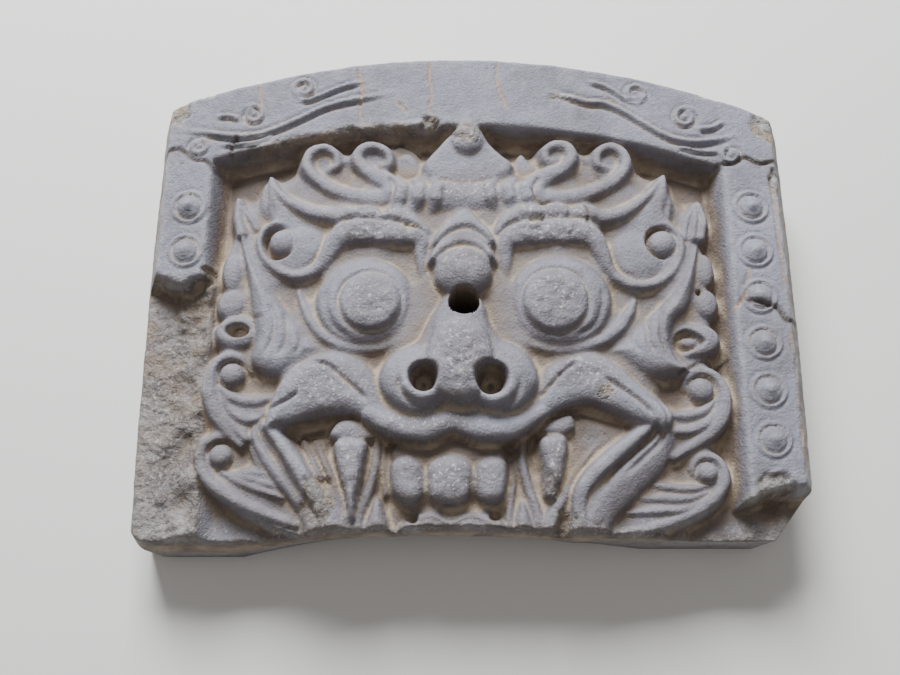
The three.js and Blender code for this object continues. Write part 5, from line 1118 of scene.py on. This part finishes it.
SKIN = (0.256, 0.26, 0.325)
SKIN_DARK = (0.165, 0.16, 0.19)
SKIN_PALE = (0.315, 0.315, 0.38)
WORN = (0.40, 0.395, 0.425)
SPECK_PALE = (0.62, 0.60, 0.57)
ROUGH_SKIN = (0.20, 0.18, 0.18)
CORE_GREY = (0.2, 0.192, 0.192)
CORE_PALE = (0.41, 0.4, 0.395)
# Earth in the hollows, darkened as painted shade.
HOLLOW_EARTH_AND_SHADE = (0.225, 0.182, 0.148)
TAN_EARTH = (0.31, 0.25, 0.195)
CREAM = (0.47, 0.385, 0.29)
SEAM_DARK = (0.13, 0.11, 0.095)
GRIT_PALE = (0.60, 0.59, 0.57)
# Earth in the deepest hollows, darker still as painted shade.
DEEP_HOLLOW_EARTH_AND_SHADE = (0.165, 0.127, 0.106)
# Dark brown of painted shade with some stain.
STAIN_AND_SHADE_BROWN = (0.135, 0.108, 0.096)
MEND_LINE = (0.36, 0.26, 0.19)
CRACK_DARK = (0.085, 0.07, 0.06)
CLAY_ROUGHNESS = 0.66
CLAY_SPECULAR = 0.35
GRAIN_STRENGTH = 0.75
GRAIN_DEPTH = 0.0011


def node_group(name, inputs, outputs):
    group = bpy.data.node_groups.new(name, "ShaderNodeTree")
    for label, kind in inputs:
        group.interface.new_socket(name=label, in_out="INPUT", socket_type=kind)
    for label, kind in outputs:
        group.interface.new_socket(name=label, in_out="OUTPUT", socket_type=kind)
    return group, group.nodes.new("NodeGroupInput"), group.nodes.new("NodeGroupOutput")


def noise(tree, where, scale, detail, low, high):
    """A cloud of noise in the object's own coordinates, spread so that low to high becomes 0 to 1."""
    texture = tree.nodes.new("ShaderNodeTexNoise")
    texture.inputs["Scale"].default_value = scale
    texture.inputs["Detail"].default_value = detail
    texture.inputs["Roughness"].default_value = 0.6
    tree.links.new(where, texture.inputs["Vector"])
    spread = tree.nodes.new("ShaderNodeMapRange")
    spread.inputs["From Min"].default_value = low
    spread.inputs["From Max"].default_value = high
    tree.links.new(texture.outputs["Fac"], spread.inputs["Value"])
    return spread.outputs["Result"]


def maths(tree, operation, a, b=0.0, clamp=False):
    node = tree.nodes.new("ShaderNodeMath")
    node.operation = operation
    node.use_clamp = clamp
    for socket, value in zip(node.inputs, (a, b)):
        if isinstance(value, bpy.types.NodeSocket):
            tree.links.new(value, socket)
        else:
            socket.default_value = value
    return node.outputs["Value"]


def times(tree, a, b, clamp=False):
    return maths(tree, "MULTIPLY", a, b, clamp)


def plus(tree, a, b, clamp=False):
    return maths(tree, "ADD", a, b, clamp)


def blend_colour(tree, amount, under, over):
    node = tree.nodes.new("ShaderNodeMix")
    node.data_type = "RGBA"
    tree.links.new(amount, node.inputs["Factor"])
    for socket, value in ((node.inputs["A"], under), (node.inputs["B"], over)):
        if isinstance(value, bpy.types.NodeSocket):
            tree.links.new(value, socket)
        else:
            socket.default_value = (*value, 1)
    return node.outputs["Result"]


def grain_group():
    """Bump heights of the fired surface: sandy grain, soft lumps and small pits."""
    tree, enter, leave = node_group(
        "clay_grain", [("Where", "NodeSocketVector"), ("Break", "NodeSocketFloat")],
        [("Height", "NodeSocketFloat"), ("Pits", "NodeSocketFloat")])
    where = enter.outputs["Where"]
    lumps = noise(tree, where, 190, 3, 0.3, 0.7)
    sand = noise(tree, where, 900, 4, 0.25, 0.75)
    pit_field = noise(tree, where, 300, 2, 0.68, 0.8)
    chunks = noise(tree, where, 260, 6, 0.3, 0.7)
    plain = plus(tree, times(tree, lumps, 0.35), times(tree, sand, 0.4))
    pitted = maths(tree, "SUBTRACT", plain, times(tree, pit_field, 0.5))
    rough = times(tree, times(tree, chunks, 1.6), enter.outputs["Break"])
    tree.links.new(plus(tree, pitted, rough), leave.inputs["Height"])
    tree.links.new(pit_field, leave.inputs["Pits"])
    return tree


def ware_group():
    """The kiln's blue-grey skin: broad clouds, a finer mottle and pale worn places."""
    tree, enter, leave = node_group(
        "kiln_skin", [("Where", "NodeSocketVector"), ("Crown", "NodeSocketFloat")],
        [("Colour", "NodeSocketColor")])
    where = enter.outputs["Where"]
    broad = noise(tree, where, 26, 5, 0.38, 0.64)
    mottle = noise(tree, where, 130, 5, 0.32, 0.7)
    body = blend_colour(tree, broad, SKIN_DARK, SKIN)
    body = blend_colour(tree, times(tree, mottle, 0.5), body, SKIN_PALE)
    freckles = noise(tree, where, 420, 4, 0.45, 0.7)
    body = blend_colour(tree, times(tree, freckles, 0.45), body, SKIN_DARK)
    worn = times(tree, enter.outputs["Crown"], plus(tree, 0.25, mottle), True)
    body = blend_colour(tree, times(tree, worn, 0.5), body, WORN)
    tree.links.new(body, leave.inputs["Colour"])
    return tree


def broken_group():
    """Clay where the skin is gone: grey core, tan earth, dark seams and pale grit."""
    tree, enter, leave = node_group("broken_clay", [("Where", "NodeSocketVector")],
                                    [("Colour", "NodeSocketColor")])
    where = enter.outputs["Where"]
    core = blend_colour(tree, noise(tree, where, 75, 5, 0.42, 0.58), CORE_GREY, CORE_PALE)
    place = tree.nodes.new("ShaderNodeSeparateXYZ")
    tree.links.new(where, place.inputs["Vector"])
    upper = plus(tree, times(tree, place.outputs["Y"], 10), 1.05, True)
    earthy = times(tree, noise(tree, where, 48, 5, 0.48, 0.6), plus(tree, upper, 0.25), True)
    core = blend_colour(tree, earthy, core, TAN_EARTH)
    core = blend_colour(tree, noise(tree, where, 130, 5, 0.54, 0.66), core, SEAM_DARK)
    grit = noise(tree, where, 700, 2, 0.64, 0.72)
    tree.links.new(blend_colour(tree, grit, core, GRIT_PALE), leave.inputs["Colour"])
    return tree


def deposit_and_shade_group():
    """Earth left in the hollows, with painted shade there, darkest in the deepest ones."""
    tree, enter, leave = node_group(
        "hollow_deposit_and_shade", [("Where", "NodeSocketVector"), ("Recess", "NodeSocketFloat")],
        [("Colour", "NodeSocketColor"), ("Cover", "NodeSocketFloat")])
    where = enter.outputs["Where"]
    cloud = noise(tree, where, 95, 5, 0.3, 0.62)
    recess = enter.outputs["Recess"]
    cover = times(tree, times(tree, recess, 1.5), plus(tree, 0.35, cloud), True)
    depth = times(tree, maths(tree, "SUBTRACT", recess, 0.5), 2.4, True)
    tree.links.new(blend_colour(tree, depth, HOLLOW_EARTH_AND_SHADE, DEEP_HOLLOW_EARTH_AND_SHADE), leave.inputs["Colour"])
    tree.links.new(cover, leave.inputs["Cover"])
    return tree


def use(tree, group, **links):
    node = tree.nodes.new("ShaderNodeGroup")
    node.node_tree = group
    for label, socket in links.items():
        tree.links.new(socket, node.inputs[label])
    return node


def own(tree, name):
    """One of the piece's own masks, kept in its points."""
    node = tree.nodes.new("ShaderNodeAttribute")
    node.attribute_name = name
    return node.outputs["Fac"]


def clay_material():
    material = bpy.data.materials.new("fired_clay")
    material.use_nodes = True
    tree = material.node_tree
    surface = tree.nodes["Principled BSDF"]
    where = tree.nodes.new("ShaderNodeTexCoord").outputs["Object"]
    recess, crown, fracture = own(tree, "recess"), own(tree, "crown"), own(tree, "fracture")
    mend, crack, stain_and_shade = own(tree, "mend"), own(tree, "crack"), own(tree, "stain_and_shade")
    seam, grit = own(tree, "seam"), own(tree, "grit")
    skin = use(tree, ware_group(), Where=where, Crown=crown)
    broken = use(tree, broken_group(), Where=where)
    deposit_and_shade = use(tree, deposit_and_shade_group(), Where=where, Recess=recess)
    grain = use(tree, grain_group(), Where=where, Break=fracture)
    ragged = times(tree, fracture, plus(tree, 0.7, noise(tree, where, 200, 4, 0.3, 0.6)), True)
    colour = blend_colour(tree, ragged, skin.outputs["Colour"], broken.outputs["Colour"])
    colour = blend_colour(tree, times(tree, grit, 0.4), colour, ROUGH_SKIN)
    fine_crumbs = noise(tree, where, 600, 3, 0.57, 0.64)
    crumbs = plus(tree, fine_crumbs, noise(tree, where, 230, 4, 0.65, 0.7), True)
    specks = times(tree, plus(tree, grit, 0.22), crumbs)
    colour = blend_colour(tree, times(tree, specks, 0.6, True), colour, SPECK_PALE)
    # Painted shade with some stain: darker brown where that mask says, more in the hollows, broken up by a
    # cloud.
    shade_and_stain = times(tree, plus(tree, times(tree, recess, 1.4), 0.48), stain_and_shade, True)
    shade_and_stain = times(tree, shade_and_stain, plus(tree, 0.5, noise(tree, where, 60, 5, 0.35, 0.65)), True)
    colour = blend_colour(tree, shade_and_stain, colour, STAIN_AND_SHADE_BROWN)
    colour = blend_colour(tree, deposit_and_shade.outputs["Cover"], colour, deposit_and_shade.outputs["Colour"])
    powder = times(tree, seam, plus(tree, 0.15, noise(tree, where, 70, 4, 0.4, 0.6)), True)
    colour = blend_colour(tree, times(tree, powder, 0.7), colour, CREAM)
    pits = times(tree, grain.outputs["Pits"], 0.45)
    colour = blend_colour(tree, pits, colour, SEAM_DARK)
    thin = times(tree, mend, plus(tree, 0.25, noise(tree, where, 110, 4, 0.42, 0.58)), True)
    colour = blend_colour(tree, times(tree, thin, 0.75), colour, MEND_LINE)
    colour = blend_colour(tree, times(tree, crack, 0.85), colour, CRACK_DARK)
    tree.links.new(colour, surface.inputs["Base Color"])
    surface.inputs["Roughness"].default_value = CLAY_ROUGHNESS
    surface.inputs["Specular IOR Level"].default_value = CLAY_SPECULAR
    bump = tree.nodes.new("ShaderNodeBump")
    bump.inputs["Strength"].default_value = GRAIN_STRENGTH
    bump.inputs["Distance"].default_value = GRAIN_DEPTH
    tree.links.new(grain.outputs["Height"], bump.inputs["Height"])
    tree.links.new(bump.outputs["Normal"], surface.inputs["Normal"])
    return material


def plain_material(name, colour, roughness):
    material = bpy.data.materials.new(name)
    material.use_nodes = True
    surface = material.node_tree.nodes["Principled BSDF"]
    surface.inputs["Base Color"].default_value = (*colour, 1)
    surface.inputs["Roughness"].default_value = roughness
    return material


tile = add_tile()
tile.data.materials.append(clay_material())
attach(tile, "root")
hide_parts("demon_face_tile")


# A pale floor, soft daylight from above the crown of the tile, and the camera. A light's values are
# its place, side, power and colour. Lengths are in metres, powers in watts and the tilt in degrees.
FLOOR_REACH = 3
FLOOR_PAPER = (0.82, 0.82, 0.80)
FLOOR_ROUGHNESS = 0.9
LAMP_AIM = (0, 0, 0.03)
WINDOW_LIGHT = ((-0.22, 1.02, 0.97), 0.66, 47, (0.97, 0.985, 1.0))
CEILING_LIGHT = ((0.15, -0.2, 1.9), 1.4, 4.5, (1.0, 0.97, 0.94))
AIR_COLOUR = (1.0, 0.96, 0.92, 1)
AIR_STRENGTH = 0.2
CAMERA_LENS = 40
CAMERA_SENSOR = 36
CAMERA_PLACE = (-0.00911, -0.15899, 0.47438)
CAMERA_TILT = 17.4


def add_floor():
    bm = bmesh.new()
    bmesh.ops.create_grid(bm, x_segments=1, y_segments=1, size=FLOOR_REACH)
    mesh = bpy.data.meshes.new("studio_floor")
    bm.to_mesh(mesh)
    bm.free()
    mesh.materials.append(plain_material("floor_paper", FLOOR_PAPER, FLOOR_ROUGHNESS))
    floor = bpy.data.objects.new("studio_floor", mesh)
    bpy.context.scene.collection.objects.link(floor)


def add_lamp(name, place, size, power, colour):
    """A square soft lamp, facing the tile."""
    lamp = bpy.data.lights.new(name, "AREA")
    lamp.size = size
    lamp.energy = power
    lamp.color = colour
    holder = bpy.data.objects.new(name, lamp)
    holder.location = place
    holder.rotation_euler = (Vector(LAMP_AIM) - Vector(place)).to_track_quat("-Z", "Y").to_euler()
    bpy.context.scene.collection.objects.link(holder)


add_floor()
add_lamp("window", *WINDOW_LIGHT)
add_lamp("ceiling", *CEILING_LIGHT)
world = bpy.data.worlds.new("studio_air")
world.use_nodes = True
world.node_tree.nodes["Background"].inputs["Color"].default_value = AIR_COLOUR
world.node_tree.nodes["Background"].inputs["Strength"].default_value = AIR_STRENGTH
bpy.context.scene.world = world

camera = bpy.data.cameras.new("camera")
camera.lens = CAMERA_LENS
camera.sensor_width = CAMERA_SENSOR
viewpoint = bpy.data.objects.new("camera", camera)
viewpoint.location = CAMERA_PLACE
viewpoint.rotation_euler = (math.radians(CAMERA_TILT), 0, 0)
bpy.context.scene.collection.objects.link(viewpoint)
bpy.context.scene.camera = viewpoint
